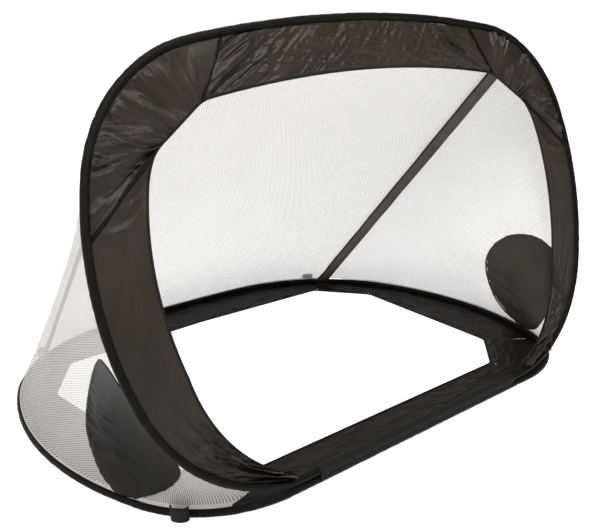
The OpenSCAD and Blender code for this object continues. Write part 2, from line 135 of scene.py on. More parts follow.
class GoalColours(bpy.types.PropertyGroup):
    """Colours of the cloth and the metal"""
    panel: colour("Panels", "Coated nylon of the panels and bands", (0.0185, 0.0138, 0.0095))
    sleeve: colour("Sleeves", "Nylon of the sleeves", (0.003, 0.0025, 0.0018))
    binding: colour("Bindings", "Tape along the edges", (0.007, 0.006, 0.005))
    webbing: colour("Webbing", "Webbing of the loops and tabs", (0.006, 0.006, 0.005))
    patch: colour("Patches", "Cloth of the round patches", (0.011, 0.009, 0.007))
    strut: colour("Struts", "Face of the struts' sleeves", (0.062, 0.052, 0.044))
    net: colour("Mesh", "Knitted mesh", (0.60, 0.575, 0.55))
    steel: colour("Spring steel", "Strips inside the sleeves", (0.42, 0.42, 0.43))
    ferrule: colour("Ferrules", "Crimped ferrules", (0.28, 0.28, 0.29))
    rod: colour("Rods", "Strut rods", (0.02, 0.02, 0.022))
    floor: colour("Floor", "Plain floor", (0.6, 0.6, 0.6))


# ---- Lines of the two hoops

def outward(t):
    """Outward direction of a hoop where its own direction is t degrees."""
    t = np.radians(t)
    return np.stack([np.sin(t), -np.cos(t)], -1)


def smooth(x):
    """From 0 to 1 with soft ends."""
    x = np.clip(x, 0, 1)
    return x*x*(3 - 2*x)


def mirrored(points, side):
    """Points of a hoop's plane, turned over to the side that each one is on."""
    return np.stack([points[..., 0]*side, points[..., 1]], -1)


class Track:
    """A line through many points of a plane, followed by its length."""

    def __init__(self, points):
        self.points = np.asarray(points, float)
        steps = np.linalg.norm(np.diff(self.points, axis=0), axis=1)
        self.reach = np.concatenate([[0], np.cumsum(steps)])
        self.length = self.reach[-1]

    def at(self, reach):
        return np.stack([np.interp(reach, self.reach, self.points[:, i]) for i in (0, 1)], -1)

    def outside(self, reach):
        """Unit vectors to the right of the line."""
        nudge = 0.0005
        ahead = self.at(np.minimum(reach + nudge, self.length))
        step = ahead - self.at(np.maximum(reach - nudge, 0))
        step /= np.linalg.norm(step, axis=-1)[..., None]
        return np.stack([step[..., 1], -step[..., 0]], -1)

    def rounded(self, corners, reach):
        """The same line with its corners, given by their place along it, drawn round."""
        along = np.linspace(0, self.length, 2400)
        points = self.at(along)
        for corner in corners:
            near = np.abs(along - corner) < reach
            k = ((along[near] - corner)/reach + 1)[:, None]/2
            a, b, c = self.at(np.array([corner - reach, corner, corner + reach]))
            points[near] = (1 - k)**2*a + 2*k*(1 - k)*b + k**2*c
        track = Track(points)
        track.corners = [track.reach[np.argmin(np.abs(along - c))] for c in corners]
        return track


class Hoop:
    """Middle line of a spring hoop's right half, as four arcs that run into each other.

    Directions are in degrees: 0 along the front edge, 90 on the side, 180 at the far end."""

    def __init__(self, half_width, length, r1, a1, r2, a2, a3):
        def s(t): return math.sin(math.radians(t))
        def c(t): return math.cos(math.radians(t))
        x0 = half_width - r1*s(a1) - r2*(1 - s(a1))
        p = -x0 - r1*s(a1) - r2*(s(a2) - s(a1))
        q = length - r1*(1 - c(a1)) - r2*(c(a1) - c(a2))
        sx, sy = s(a3) - s(a2), c(a2) - c(a3)
        det = sx*(1 + c(a3)) + s(a3)*sy
        r3 = (p*(1 + c(a3)) + s(a3)*q)/det
        r4 = (sx*q - sy*p)/det
        c1 = np.array([x0, r1])
        c2 = c1 + (r1 - r2)*outward(a1)
        c3 = c2 + (r2 - r3)*outward(a2)
        self.straight = x0
        self.ends = np.array([a1, a2, a3])
        self.centres = np.array([c1, c2, c3, [0, length - r4]])
        self.radii = np.array([r1, r2, r3, r4])
        self.turns = np.concatenate([[0], np.linspace(0, 180, 1801)])
        self.half = Track(np.concatenate([[[0, 0]], self.at(self.turns[1:])]))

    def at(self, t, inward=0.0):
        """Points where the direction is t, moved inwards."""
        t = np.asarray(t, float)
        arc = np.searchsorted(self.ends, t)
        radius = np.asarray(self.radii[arc] - inward)
        return self.centres[arc] + radius[..., None]*outward(t)

    def reach(self, t):
        """Length from the middle of the front edge to the direction t."""
        return np.interp(t, self.turns[1:], self.half.reach[1:])

    def half_width(self, y):
        return np.interp(y, self.half.points[:, 1], self.half.points[:, 0])

    def ring(self, share):
        """Points once round the hoop from the middle of its front edge, with the outward
        directions and the turns there."""
        side = np.where(share < 0.5, 1.0, -1.0)
        reach = (1 - np.abs(2*share - 1))*self.half.length
        t = np.interp(reach, self.half.reach, self.turns)
        return mirrored(self.half.at(reach), side), mirrored(outward(t), side), t


class GoalShape:
    """The places of all the goal's cloth, worked out from its sizes."""
    FRONT_SEAM_LOW = 97      # directions of the front hoop at its seams
    FRONT_SEAM_TOP = 172.5
    MOUTH_LOW = 126          # and at the corners of the mouth
    MOUTH_TOP = 167
    BASE_SEAMS = (8, 64, 116, 131)
    STRUT_FOOT = 135
    STRUT_HEAD = 148
    PEG_LOOPS = {"front": 48, "rear": 142}

    def __init__(self, sizes, folds):
        self.sizes = sizes
        self.folds = folds
        r = self.r = sizes.sleeve_radius
        tape_gap, tape = 0.0003, 0.001
        tape_r = r + tape_gap + tape
        self.tape_r = tape_r
        self.hinge_up = 2*r + tape_gap + tape
        self.hinge_y = tape_r - sizes.depth/2
        self.hinge_z = r + self.hinge_up
        half = sizes.width/2 - r
        self.front = Hoop(half, sizes.hoop_length - 2*r, 0.29, 72, 0.61, 105, 171)
        self.base = Hoop(half, sizes.depth - tape_r - r, 0.225, 68, 0.75, 112, 176)
        self.panel_from = math.degrees(math.asin((r + 0.00475)/sizes.side_panel))
        gap, snug, mesh_half = 0.00035, 0.00005, 0.0006
        strap = r + snug + sizes.tab_thickness
        self.net_z = r + strap + gap + mesh_half
        self.net_n = -r - gap - mesh_half
        self.foot_z = r + strap + gap
        self.head_n = -2.5*sizes.panel_thickness - sizes.tab_thickness/2 - gap
        self.head_w = float(self.front.at(self.STRUT_HEAD)[1])
        self.foot_y = float(self.base.at(self.STRUT_FOOT)[1])
        # The nets are cut in two where both hoops are equally far
        self.net_cut = self.head_w/(self.head_w + self.foot_y)
        self.mouth = self.mouth_track()
        self.opening = self.opening_track()

    # Places in the row's frame, from a hoop's own plane

    def on_front(self, p, n):
        lean = self.sizes.lean
        n = np.broadcast_to(n, p[..., 0].shape)
        return np.stack([p[..., 0],
                         self.hinge_y + p[..., 1]*math.sin(lean) - n*math.cos(lean),
                         self.hinge_z + p[..., 1]*math.cos(lean) + n*math.sin(lean)], -1)

    def on_base(self, p, z):
        z = np.broadcast_to(z, p[..., 0].shape)
        return np.stack([p[..., 0], self.hinge_y + p[..., 1], z], -1)

    @property
    def front_normal(self):
        """Out of the mouth, along which the front panels' thickness runs."""
        return Vector((0, -math.cos(self.sizes.lean), math.sin(self.sizes.lean)))

    # Edges of the mouth and of the opening in the base

    def mouth_track(self):
        """Right half of the mouth's edge, from near the hinge to the middle of the crown."""
        t = np.linspace(self.panel_from, self.MOUTH_LOW, 240)
        inward = self.sizes.side_panel*np.where(t < 90, np.sin(np.radians(t)), 1)
        low = self.front.at(t, inward)
        top = self.front.at(np.linspace(self.MOUTH_TOP, 180, 80), self.sizes.top_panel)
        track = Track(np.concatenate([low, top]))
        self.mouth_turns, self.mouth_reach = t, track.reach[:len(t)]
        return track.rounded([track.reach[len(t) - 1], track.reach[len(t)]],
                             self.sizes.corner_round)

    def opening_track(self):
        """Right half of the opening's edge, from the middle of the front to the middle rear."""
        s = self.sizes
        cuts = [(5, s.front_band), (70, s.side_band), (110, s.side_band_rear),
                (139, s.rear_band_end), (180, s.rear_band)]
        points = [self.base.at(t, inward) for t, inward in cuts]
        track = Track([[0, points[0][1]], *points])
        return track.rounded(track.reach[1:5], s.corner_round*0.8)

    # Strut, nets and patches, on the right side

    def strut_line(self):
        inward = 0.015
        foot = self.on_base(self.base.at(self.STRUT_FOOT, inward), self.foot_z)
        head = self.on_front(self.front.at(self.STRUT_HEAD, inward), self.head_n)
        return foot, head

    def net_drop(self, s, from_strut):
        """How far a net's lower edge drops onto the sleeve, away from the struts' tabs."""
        return (self.net_z - 2*self.r)*smooth((s - 0.97)/0.02)*smooth((from_strut - 0.04)/0.03)

    def side_point(self, k, s):
        """k runs from 0 at the hinge to 1 at the strut, s from the hoop to the base."""
        p = np.stack([self.front.half_width(k*self.head_w), k*self.head_w], -1)
        q = np.stack([self.base.half_width(k*self.foot_y), k*self.foot_y], -1)
        points = (1 - s)[..., None]*self.on_front(p, self.net_n)
        points += s[..., None]*self.on_base(q, self.net_z - self.net_drop(s, 1 - k))
        loose = (np.sin(np.pi*s)*np.sin(np.pi*k))**2
        points[..., 0] += self.folds.side_fold*np.sin(2*np.pi*3*k)*loose
        points[..., 0] -= self.sizes.net_draw*np.sin(np.pi*s)*np.sin(np.pi*k)**0.7
        loose = np.sqrt(np.clip(loose, 0, 1))
        points[..., 0] += self.folds.net_ripple*loose*ripple(k*14 + s*3, s*2.2, 21)
        points[..., 0] += 0.5*self.folds.net_ripple*loose*ripple(k*33 - s*6, s*3, 22)
        return points

    def back_point(self, k, s):
        """k runs from -1 at the left strut to 1 at the right one, s from the hoop to the base."""
        side = np.where(k < 0, -1.0, 1.0)
        p = self.front.at(180 - (180 - self.STRUT_HEAD)*np.abs(k))
        q = self.base.at(180 - (180 - self.STRUT_FOOT)*np.abs(k))
        points = (1 - s)[..., None]*self.on_front(mirrored(p, side), self.net_n)
        points += s[..., None]*self.on_base(mirrored(q, side),
                                            self.net_z - self.net_drop(s, 1 - np.abs(k)))
        loose = np.sin(np.pi*s)**2*(1 - k*k)
        points[..., 1] += self.folds.back_fold*np.cos(np.pi*5*k)*loose
        loose = np.sqrt(np.clip(loose, 0, 1))
        points[..., 1] += self.folds.net_ripple*loose*ripple(k*12 + s*1.4, s*1.6, 31)
        points[..., 1] += 0.6*self.folds.net_ripple*loose*ripple(k*31 - s*2.5, s*2.4, 32)
        return points

    def patch_middle(self):
        """Middle of a patch, seen from the side of the goal."""
        return np.array([self.hinge_y + self.sizes.patch_back, self.sizes.patch_height])

    def patch_point(self, y, z):
        """Point of the side net at a height and a distance behind the front edge."""
        up = (z - self.hinge_z)/(self.head_w*math.cos(self.sizes.lean))
        along = (y - up*self.head_w*math.sin(self.sizes.lean))/self.foot_y
        return self.side_point(up + along, along/(up + along))


# ---- Creases

def lattice(ix, iy, seed):
    n = np.sin(ix*127.1 + iy*311.7 + seed*74.7)*43758.5453
    return n - np.floor(n)


def ripple(x, y, seed):
    """Smooth noise from -1 to 1, in cells one unit wide."""
    ix, iy = np.floor(x), np.floor(y)
    fx, fy = smooth(x - ix), smooth(y - iy)
    low = lattice(ix, iy, seed)*(1 - fx) + lattice(ix + 1, iy, seed)*fx
    high = lattice(ix, iy + 1, seed)*(1 - fx) + lattice(ix + 1, iy + 1, seed)*fx
    return 2*(low*(1 - fy) + high*fy) - 1


def crease(x, y, seed):
    """Noise from 0 to 1 that runs up to sharp lines, as creased cloth does."""
    return (1 - np.abs(ripple(x, y, seed)))**2


def drag(along, across, angle, length, width, seed):
    """Creases that run along a panel at an angle, so long and so wide."""
    a = math.radians(angle)
    x = along*math.cos(a) + across*math.sin(a)
    y = across*math.cos(a) - along*math.sin(a)
    return crease(x/length, y/width, seed) + 0.5*crease(x/length*2.3, y/width*2.1, seed + 1) - 0.6


# ---- Making pieces

def make_sheet(name, columns, rows, place, chart, thickness=0.0, turned=False, marks=None,
               material=None, cut_out=None):
    """A grid of cloth. place turns shares across and along it into points, chart turns the
    shares and points into the flat pattern's metres, marks gives each point's attributes, and
    cut_out says which points lie in a hole."""
    bm = bmesh.new()
    bmesh.ops.create_grid(bm, x_segments=columns, y_segments=rows, size=0.5)
    flat = np.array([v.co[:2] for v in bm.verts]) + 0.5
    u, v = flat[:, 0], flat[:, 1]
    points = place(u, v)
    pattern = chart(u, v, points)
    layer = bm.loops.layers.uv.new("pattern")
    for face in bm.faces:
        for loop in face.loops:
            loop[layer].uv = pattern[loop.vert.index]
    for mark, value in (marks(u, v) if marks else {}).items():
        attribute = bm.verts.layers.float.new(mark)
        for vert in bm.verts:
            vert[attribute] = value[vert.index]
    for vert in bm.verts:
        vert.co = points[vert.index]
    if cut_out:
        hole = [v for v, out in zip(bm.verts, cut_out(points)) if out]
        bmesh.ops.delete(bm, geom=hole, context="VERTS")
    bmesh.ops.remove_doubles(bm, verts=bm.verts, dist=1e-6)
    if turned:
        bmesh.ops.reverse_faces(bm, faces=bm.faces)
    return finish_piece(name, bm, material, thickness)


def finish_piece(name, bm, material, thickness=0.0, prefix="sewn_"):
    """Turns a bmesh into a smooth piece, with a Solidify modifier where it has a thickness."""
    mesh = bpy.data.meshes.new(name)
    bm.to_mesh(mesh)
    bm.free()
    for polygon in mesh.polygons:
        polygon.use_smooth = True
    piece = bpy.data.objects.new(f"{prefix}{name}", mesh)
    bpy.context.scene.collection.objects.link(piece)
    if material:
        mesh.materials.append(material)
    if thickness:
        wall = piece.modifiers.new("Cloth thickness", "SOLIDIFY")
        wall.thickness = thickness
        wall.offset = 0
    return piece


def metres(width, length):
    """A flat pattern whose shares simply grow to its size."""
    return lambda u, v, points: np.stack([u*width, v*length], -1)


def between(outer, inner, lift):
    """A place function for a panel between two lines. outer and inner take shares along the
    panel, and lift takes the plane points with both shares to a place."""
    def place(u, v):
        points = (1 - v)[:, None]*outer(u) + v[:, None]*inner(u)
        return lift(points, u, v)
    return place


def area_of(place, columns=60, rows=60):
    """Area of the sheet that a place function makes."""
    u, v = np.meshgrid(np.linspace(0, 1, columns), np.linspace(0, 1, rows), indexing="ij")
    points = place(u.ravel(), v.ravel()).reshape(columns, rows, 3)
    a = points[1:, :-1] - points[:-1, :-1]
    b = points[:-1, 1:] - points[:-1, :-1]
    return float(np.linalg.norm(np.cross(a, b), axis=-1).sum())


def declare(width, length, held, area=None):
    """Takes how large a piece of cloth was cut, and the area of a cut that isn't a rectangle capped
    at its width times length; it keeps nothing.
    """
    if area is not None:
        area = min(area, width*length)


def dress(piece, body, slot, *nodes):
    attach(piece, body)
    if nodes:
        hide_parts(*nodes)
    return piece


def shape_of(context):
    return GoalShape(context.scene.goal_sizes, context.scene.goal_folds)


# ---- Finishes

class Field:
    """A number that varies over a surface. Python's operators add Math nodes."""

    def __init__(self, finish, socket):
        self.finish = finish
        self.socket = socket

    def math(self, operation, *inputs):
        return self.finish.node("ShaderNodeMath", {"operation": operation}, [self, *inputs])

    def __add__(self, other): return self.math("ADD", other)
    def __sub__(self, other): return self.math("SUBTRACT", other)
    def __mul__(self, other): return self.math("MULTIPLY", other)
    def __truediv__(self, other): return self.math("DIVIDE", other)
    def __radd__(self, other): return self + other
    def __rmul__(self, other): return self*other

    def __rsub__(self, other):
        return self.finish.node("ShaderNodeMath", {"operation": "SUBTRACT"}, [other, self])

    def rise(self, start, end):
        """From 0 to 1 between two values, with soft ends."""
        return self.finish.node("ShaderNodeMapRange", {"interpolation_type": "SMOOTHSTEP"},
                                {"Value": self, "From Min": start, "From Max": end})

    def wave(self, pitch):
        """A wave from -1 to 1 with that pitch."""
        return (self*(2*math.pi/pitch)).math("SINE")


class Finish:
    """A material and its nodes."""

    def __init__(self, name):
        self.material = bpy.data.materials.new(name)
        self.material.use_nodes = True
        self.tree = self.material.node_tree
        self.surface = self.tree.nodes["Principled BSDF"]
        self.output = self.tree.nodes["Material Output"]

    def node(self, kind, settings, inputs, output=0):
        """Adds a node, sets it, then fills its sockets with values or links."""
        node = self.tree.nodes.new(kind)
        for key, value in settings.items():
            setattr(node, key, value)
        pairs = inputs.items() if isinstance(inputs, dict) else enumerate(inputs)
        for key, value in pairs:
            if isinstance(value, Field):
                self.tree.links.new(value.socket, node.inputs[key])
            else:
                node.inputs[key].default_value = value
        return Field(self, node.outputs[output])

    def set(self, **inputs):
        """Sets or links the Principled BSDF's sockets, with _ for a space in a name."""
        for key, value in inputs.items():
            socket = self.surface.inputs[key.replace("_", " ")]
            if isinstance(value, Field):
                self.tree.links.new(value.socket, socket)
            else:
                socket.default_value = value

    def pattern(self):
        """The flat pattern's coordinates, in metres."""
        return self.node("ShaderNodeUVMap", {"uv_map": "pattern"}, [])

    def place(self):
        return self.node("ShaderNodeTexCoord", {}, [], "Object")

    def parts(self, vector):
        node = self.node("ShaderNodeSeparateXYZ", {}, [vector])
        outputs = node.socket.node.outputs
        return [Field(self, outputs[i]) for i in range(3)]

    def mark(self, name):
        return self.node("ShaderNodeAttribute", {"attribute_name": name}, [], "Fac")

    def noise(self, vector, scale, detail=2.0, stretch=(1, 1, 1)):
        """Noise about 0.5, drawn out along the axes whose stretch is small."""
        mapped = self.node("ShaderNodeMapping", {}, {"Vector": vector, "Scale": stretch})
        return self.node("ShaderNodeTexNoise", {}, {"Vector": mapped, "Scale": scale,
                                                    "Detail": detail})

    def mix(self, a, b, factor):
        """A colour between two."""
        colours = [(*c, 1) if isinstance(c, tuple) else c for c in (a, b)]
        return self.node("ShaderNodeMix", {"data_type": "RGBA"},
                         {0: factor, 6: colours[0], 7: colours[1]}, 2)

    def bump(self, height, depth, under=None):
        """A bump of so many metres, over another one."""
        inputs = {"Height": height, "Distance": depth, "Strength": 1.0}
        if under:
            inputs["Normal"] = under
        return self.node("ShaderNodeBump", {}, inputs)


def shade(colour, factor):
    return tuple(min(1.0, c*factor) for c in colour)


def nylon(name, colour, gloss, creasing=0.0007, shine=0.4):
    """Coated nylon: a fine plain weave, small handling creases with a painted highlight on their
    crests, and a satin face.
    """
    f = Finish(name)
    pattern = f.pattern()
    across, along, _ = f.parts(pattern)
    thread = 0.0005
    weave = across.wave(thread)*along.wave(thread)
    small = f.noise(pattern, 70, 4, (1, 0.35, 1))
    fine = f.noise(pattern, 260, 2)
    broad = f.noise(pattern, 9, 3)
    # Painted highlight: a paler copy of the cloth's colour on the crests of the small creases and
    # in fine noise
    crest_highlight = (fine*0.5 + small*0.5).rise(0.5, 0.72)
    worn = f.mix(shade(colour, 0.8), shade(colour, 1.25), broad.rise(0.3, 0.7))
    f.set(Base_Color=f.mix(worn, f.mix(worn, shade(colour, 1.7), 0.45), crest_highlight),
          Roughness=0.62 - gloss*0.4 + broad*0.12 + crest_highlight*0.06,
          Normal=f.bump(weave, 0.00004, f.bump(small, creasing)))
    f.set(Specular_IOR_Level=shine)
    return f


def ribbed_tape(name, colour, rib=0.0011):
    """Woven tape or webbing, with ribs across it and a thread edge."""
    f = Finish(name)
    pattern = f.pattern()
    across, along, _ = f.parts(pattern)
    ribs = along.wave(rib)*0.5 + 0.5
    threads = across.wave(rib*0.7)*0.25
    lint = f.noise(pattern, 420, 3)
    f.set(Base_Color=f.mix(shade(colour, 0.7), shade(colour, 1.8), ribs*lint),
          Roughness=0.6 + lint*0.25,
          Normal=f.bump(ribs + threads, 0.0003))
    f.set(Specular_IOR_Level=0.15)
    return f


def knitted_mesh(name, colour, pitch):
    """White knitted mesh: staggered oval holes between soft threads, and a solid hem."""
    f = Finish(name)
    pattern = f.pattern()
    across, along, _ = f.parts(pattern)
    row_height = pitch*0.86
    row = (along/row_height).math("FLOOR")
    shift = (row*0.5).math("FRACT")
    x = (across/pitch + shift).math("FRACT") - 0.5
    y = (along/row_height).math("FRACT") - 0.5
    thread = (x*x*1.25 + y*y*1.1).math("SQRT")
    solid = thread.rise(0.30, 0.36).math("MAXIMUM", f.mark("hem"))
    shades = f.noise(f.place(), 7, 2)
    fuzz = f.noise(pattern, 900, 2)
    f.set(Base_Color=f.mix(shade(colour, 0.93), colour, shades.rise(0.35, 0.65)),
          Roughness=0.72 + fuzz*0.2,
          Alpha=solid,
          Normal=f.bump(thread.rise(0.3, 0.62) + fuzz*0.3, 0.0001))
    glow = f.tree.nodes.new("ShaderNodeBsdfTranslucent")
    glow.inputs["Color"].default_value = (*colour, 1)
    clear = f.tree.nodes.new("ShaderNodeBsdfTransparent")
    lit = f.tree.nodes.new("ShaderNodeMixShader")
    lit.inputs[0].default_value = 0.35
    held = f.tree.nodes.new("ShaderNodeMixShader")
    f.tree.links.new(f.surface.outputs[0], lit.inputs[1])
    f.tree.links.new(glow.outputs[0], lit.inputs[2])
    f.tree.links.new(solid.socket, held.inputs[0])
    f.tree.links.new(clear.outputs[0], held.inputs[1])
    f.tree.links.new(lit.outputs[0], held.inputs[2])
    f.tree.links.new(held.outputs[0], f.output.inputs["Surface"])
    return f


def strut_cloth(name, face, edge):
    """Dark grey cloth with a black strip along one edge: painted shade of the side turned away from
    the light, drawn as a dark binding.
    """
    f = nylon(name, face, 0.5, 0.0004, 0.2)
    # The mark carries painted shade: the binding's black on the side of the sleeve turned away from
    # the light
    sewn = f.mark("edge")
    plain = f.surface.inputs["Base Color"].links[0].from_socket
    f.set(Base_Color=f.mix(Field(f, plain), edge, sewn))
    return f


def drawn_metal(name, colour, roughness, scratch):
    """Metal with fine marks along it and a slight stain."""
    f = Finish(name)
    place = f.place()
    marks = f.noise(place, 900, 3, (1, 1, 0.2))
    stain = f.noise(place, 40, 3)
    f.set(Base_Color=f.mix(shade(colour, 0.75), colour, stain.rise(0.35, 0.6)),
          Roughness=roughness + marks*0.15 + stain*0.1,
          Metallic=1.0,
          Normal=f.bump(marks, scratch))
    return f


def glass_fibre(name, colour):
    """Pultruded rod with fibres along it."""
    f = Finish(name)
    fibres = f.noise(f.place(), 700, 3, (1, 1, 0.1))
    f.set(Base_Color=f.mix(colour, shade(colour, 2.2), fibres.rise(0.45, 0.7)),
          Roughness=0.32 + fibres*0.2,
          Normal=f.bump(fibres, 0.00008))
    return f


def finish_for(context, slot):
    """The finish of a kind of cloth or metal, made the first time that a piece asks for it."""
    name = f"{slot}_finish"
    if name in bpy.data.materials:
        return bpy.data.materials[name]
    c = context.scene.goal_colours
    makers = {
        "panel_fabric": lambda: nylon(name, tuple(c.panel), 0.8, 0.0009, 0.17),
        # The ground bands take the panels' nylon at 0.4 of its colour: painted shade, as less light
        # reaches the ground
        "shaded_panel_fabric": lambda: nylon(name, shade(tuple(c.panel), 0.4), 0.75, 0.0009, 0.12),
        "sleeve_fabric": lambda: nylon(name, tuple(c.sleeve), 0.35, 0.0006, 0.08),
        "binding_fabric": lambda: ribbed_tape(name, tuple(c.binding)),
        "webbing": lambda: ribbed_tape(name, tuple(c.webbing), 0.0016),
        "patch_fabric": lambda: nylon(name, tuple(c.patch), 0.6, 0.0007, 0.08),
        # Painted light: a paler copy of the patch cloth for the patches' inside faces
        "patch_lining": lambda: nylon(name, shade(tuple(c.patch), 3.2), 0.3, 0.0007, 0.1),
        "strut_fabric": lambda: strut_cloth(name, tuple(c.strut), tuple(c.binding)),
        "mesh": lambda: knitted_mesh(name, tuple(c.net), context.scene.goal_sizes.mesh_pitch),
        "spring_steel": lambda: drawn_metal(name, tuple(c.steel), 0.25, 0.00004),
        "ferrule_steel": lambda: drawn_metal(name, tuple(c.ferrule), 0.4, 0.00008),
        "strut_rod": lambda: glass_fibre(name, tuple(c.rod)),
    }
    return makers[slot]().material


# ---- Pieces, one operator for each group of like pieces

class GOAL_OT_metal(bpy.types.Operator):
    """Finish the spring strips and their ferrules"""
    bl_idname = "goal.metal"
    bl_label = "Spring strips"

    def execute(self, context):
        for hoop in ("front", "base"):
            for node, slot in (("wire", "spring_steel"), ("wire_ferrule", "ferrule_steel")):
                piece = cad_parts[f"{hoop}_{node}"]
                piece.data.materials.clear()
                piece.data.materials.append(finish_for(context, slot))
        return {"FINISHED"}


def sleeve_profile(r, seam_z, thickness):
    """A strip of cloth folded round a hoop, with both its edges in the seam allowance.

    Gives a function from a share across the strip to the distance outwards from the middle,
    as a share of the seam's reach where it is in the seam, and the height."""
    root = math.atan2(seam_z, -math.sqrt(r*r - seam_z*seam_z))
    seam_share = 0.22

    def profile(u, reach):
        gap = thickness/r/2
        k = np.clip((u - seam_share)/(1 - 2*seam_share), 0, 1)
        angle = root + gap + k*(2*math.pi - 2*gap)
        x, z = r*np.cos(angle), r*np.sin(angle)
        out = np.maximum(seam_share - u, u - (1 - seam_share))/seam_share
        out = np.clip(out, 0, 1)
        inward = -math.sqrt(r*r - seam_z*seam_z)
        x = np.where(out > 0, inward - out*np.maximum(reach + inward, 0), x)
        return x, np.where(out > 0, seam_z + np.sign(u - 0.5)*thickness*0.55, z)
    return profile


class GOAL_OT_sleeves(bpy.types.Operator):
    """Fold the sleeves round both hoops"""
    bl_idname = "goal.sleeves"
    bl_label = "Sleeves"

    def execute(self, context):
        shape = shape_of(context)
        sizes = shape.sizes
        t = sizes.panel_thickness
        material = finish_for(context, "sleeve_fabric")
        cloth = sizes.cloth_thickness
        for name, hoop, seam_z, body, lift in (
                ("front_sleeve", shape.front, -t, "front_hoop", shape.on_front),
                ("base_sleeve", shape.base, 1.5*t - shape.r, "base",
                 lambda p, z: shape.on_base(p, z + shape.r))):
            skin = shape.r - cloth/2
            profile = sleeve_profile(skin, seam_z, cloth)
            round_it = 2*hoop.half.length
            width = 2*math.pi*skin + 2*(sizes.seam_reach - skin)

            def place(u, v, hoop=hoop, profile=profile, lift=lift, name=name,
                      round_it=round_it):
                points, out, t = hoop.ring(v)
                starts = shape.panel_from if hoop is shape.front else 0.5
                reach = sizes.seam_reach*smooth((t - 0.4*starts)/(0.8*starts))
                if hoop is shape.base:
                    reach = np.full(len(u), sizes.seam_reach)
                x, z = profile(u, reach)
                along = v*round_it
                ends = smooth(np.minimum(v, 1 - v)/0.01)
                seed = 3 if hoop is shape.front else 5
                pinch = crease(along/0.017, u*3, seed) - 0.4 + 0.4*ripple(along/0.05, u*2, seed)
                swell = 1 - np.abs(pinch)*ends*shape.folds.pucker/shape.r*1.4
                wave = np.where(np.abs(x) > shape.r*1.05,
                                shape.folds.pucker*0.9*ripple(along/0.02, u*0, seed)*ends, 0)
                wave = wave*smooth((np.abs(x) - shape.r)/0.008)
                side = np.where(np.abs(x) <= shape.r, swell, 1.0)
                if hoop is shape.base:
                    wave = np.abs(wave)
                z = np.maximum(z*side + wave, cloth/2 - shape.r)
                return lift(points + (x*side)[:, None]*out, z)

            sleeve = make_sheet(name, 40, 1100, place, metres(width, round_it), cloth,
                                material=material)
            dress(sleeve, body, "sleeve_fabric", name)
            declare(width, round_it, "folded",
                    area=width*round_it)
        return {"FINISHED"}


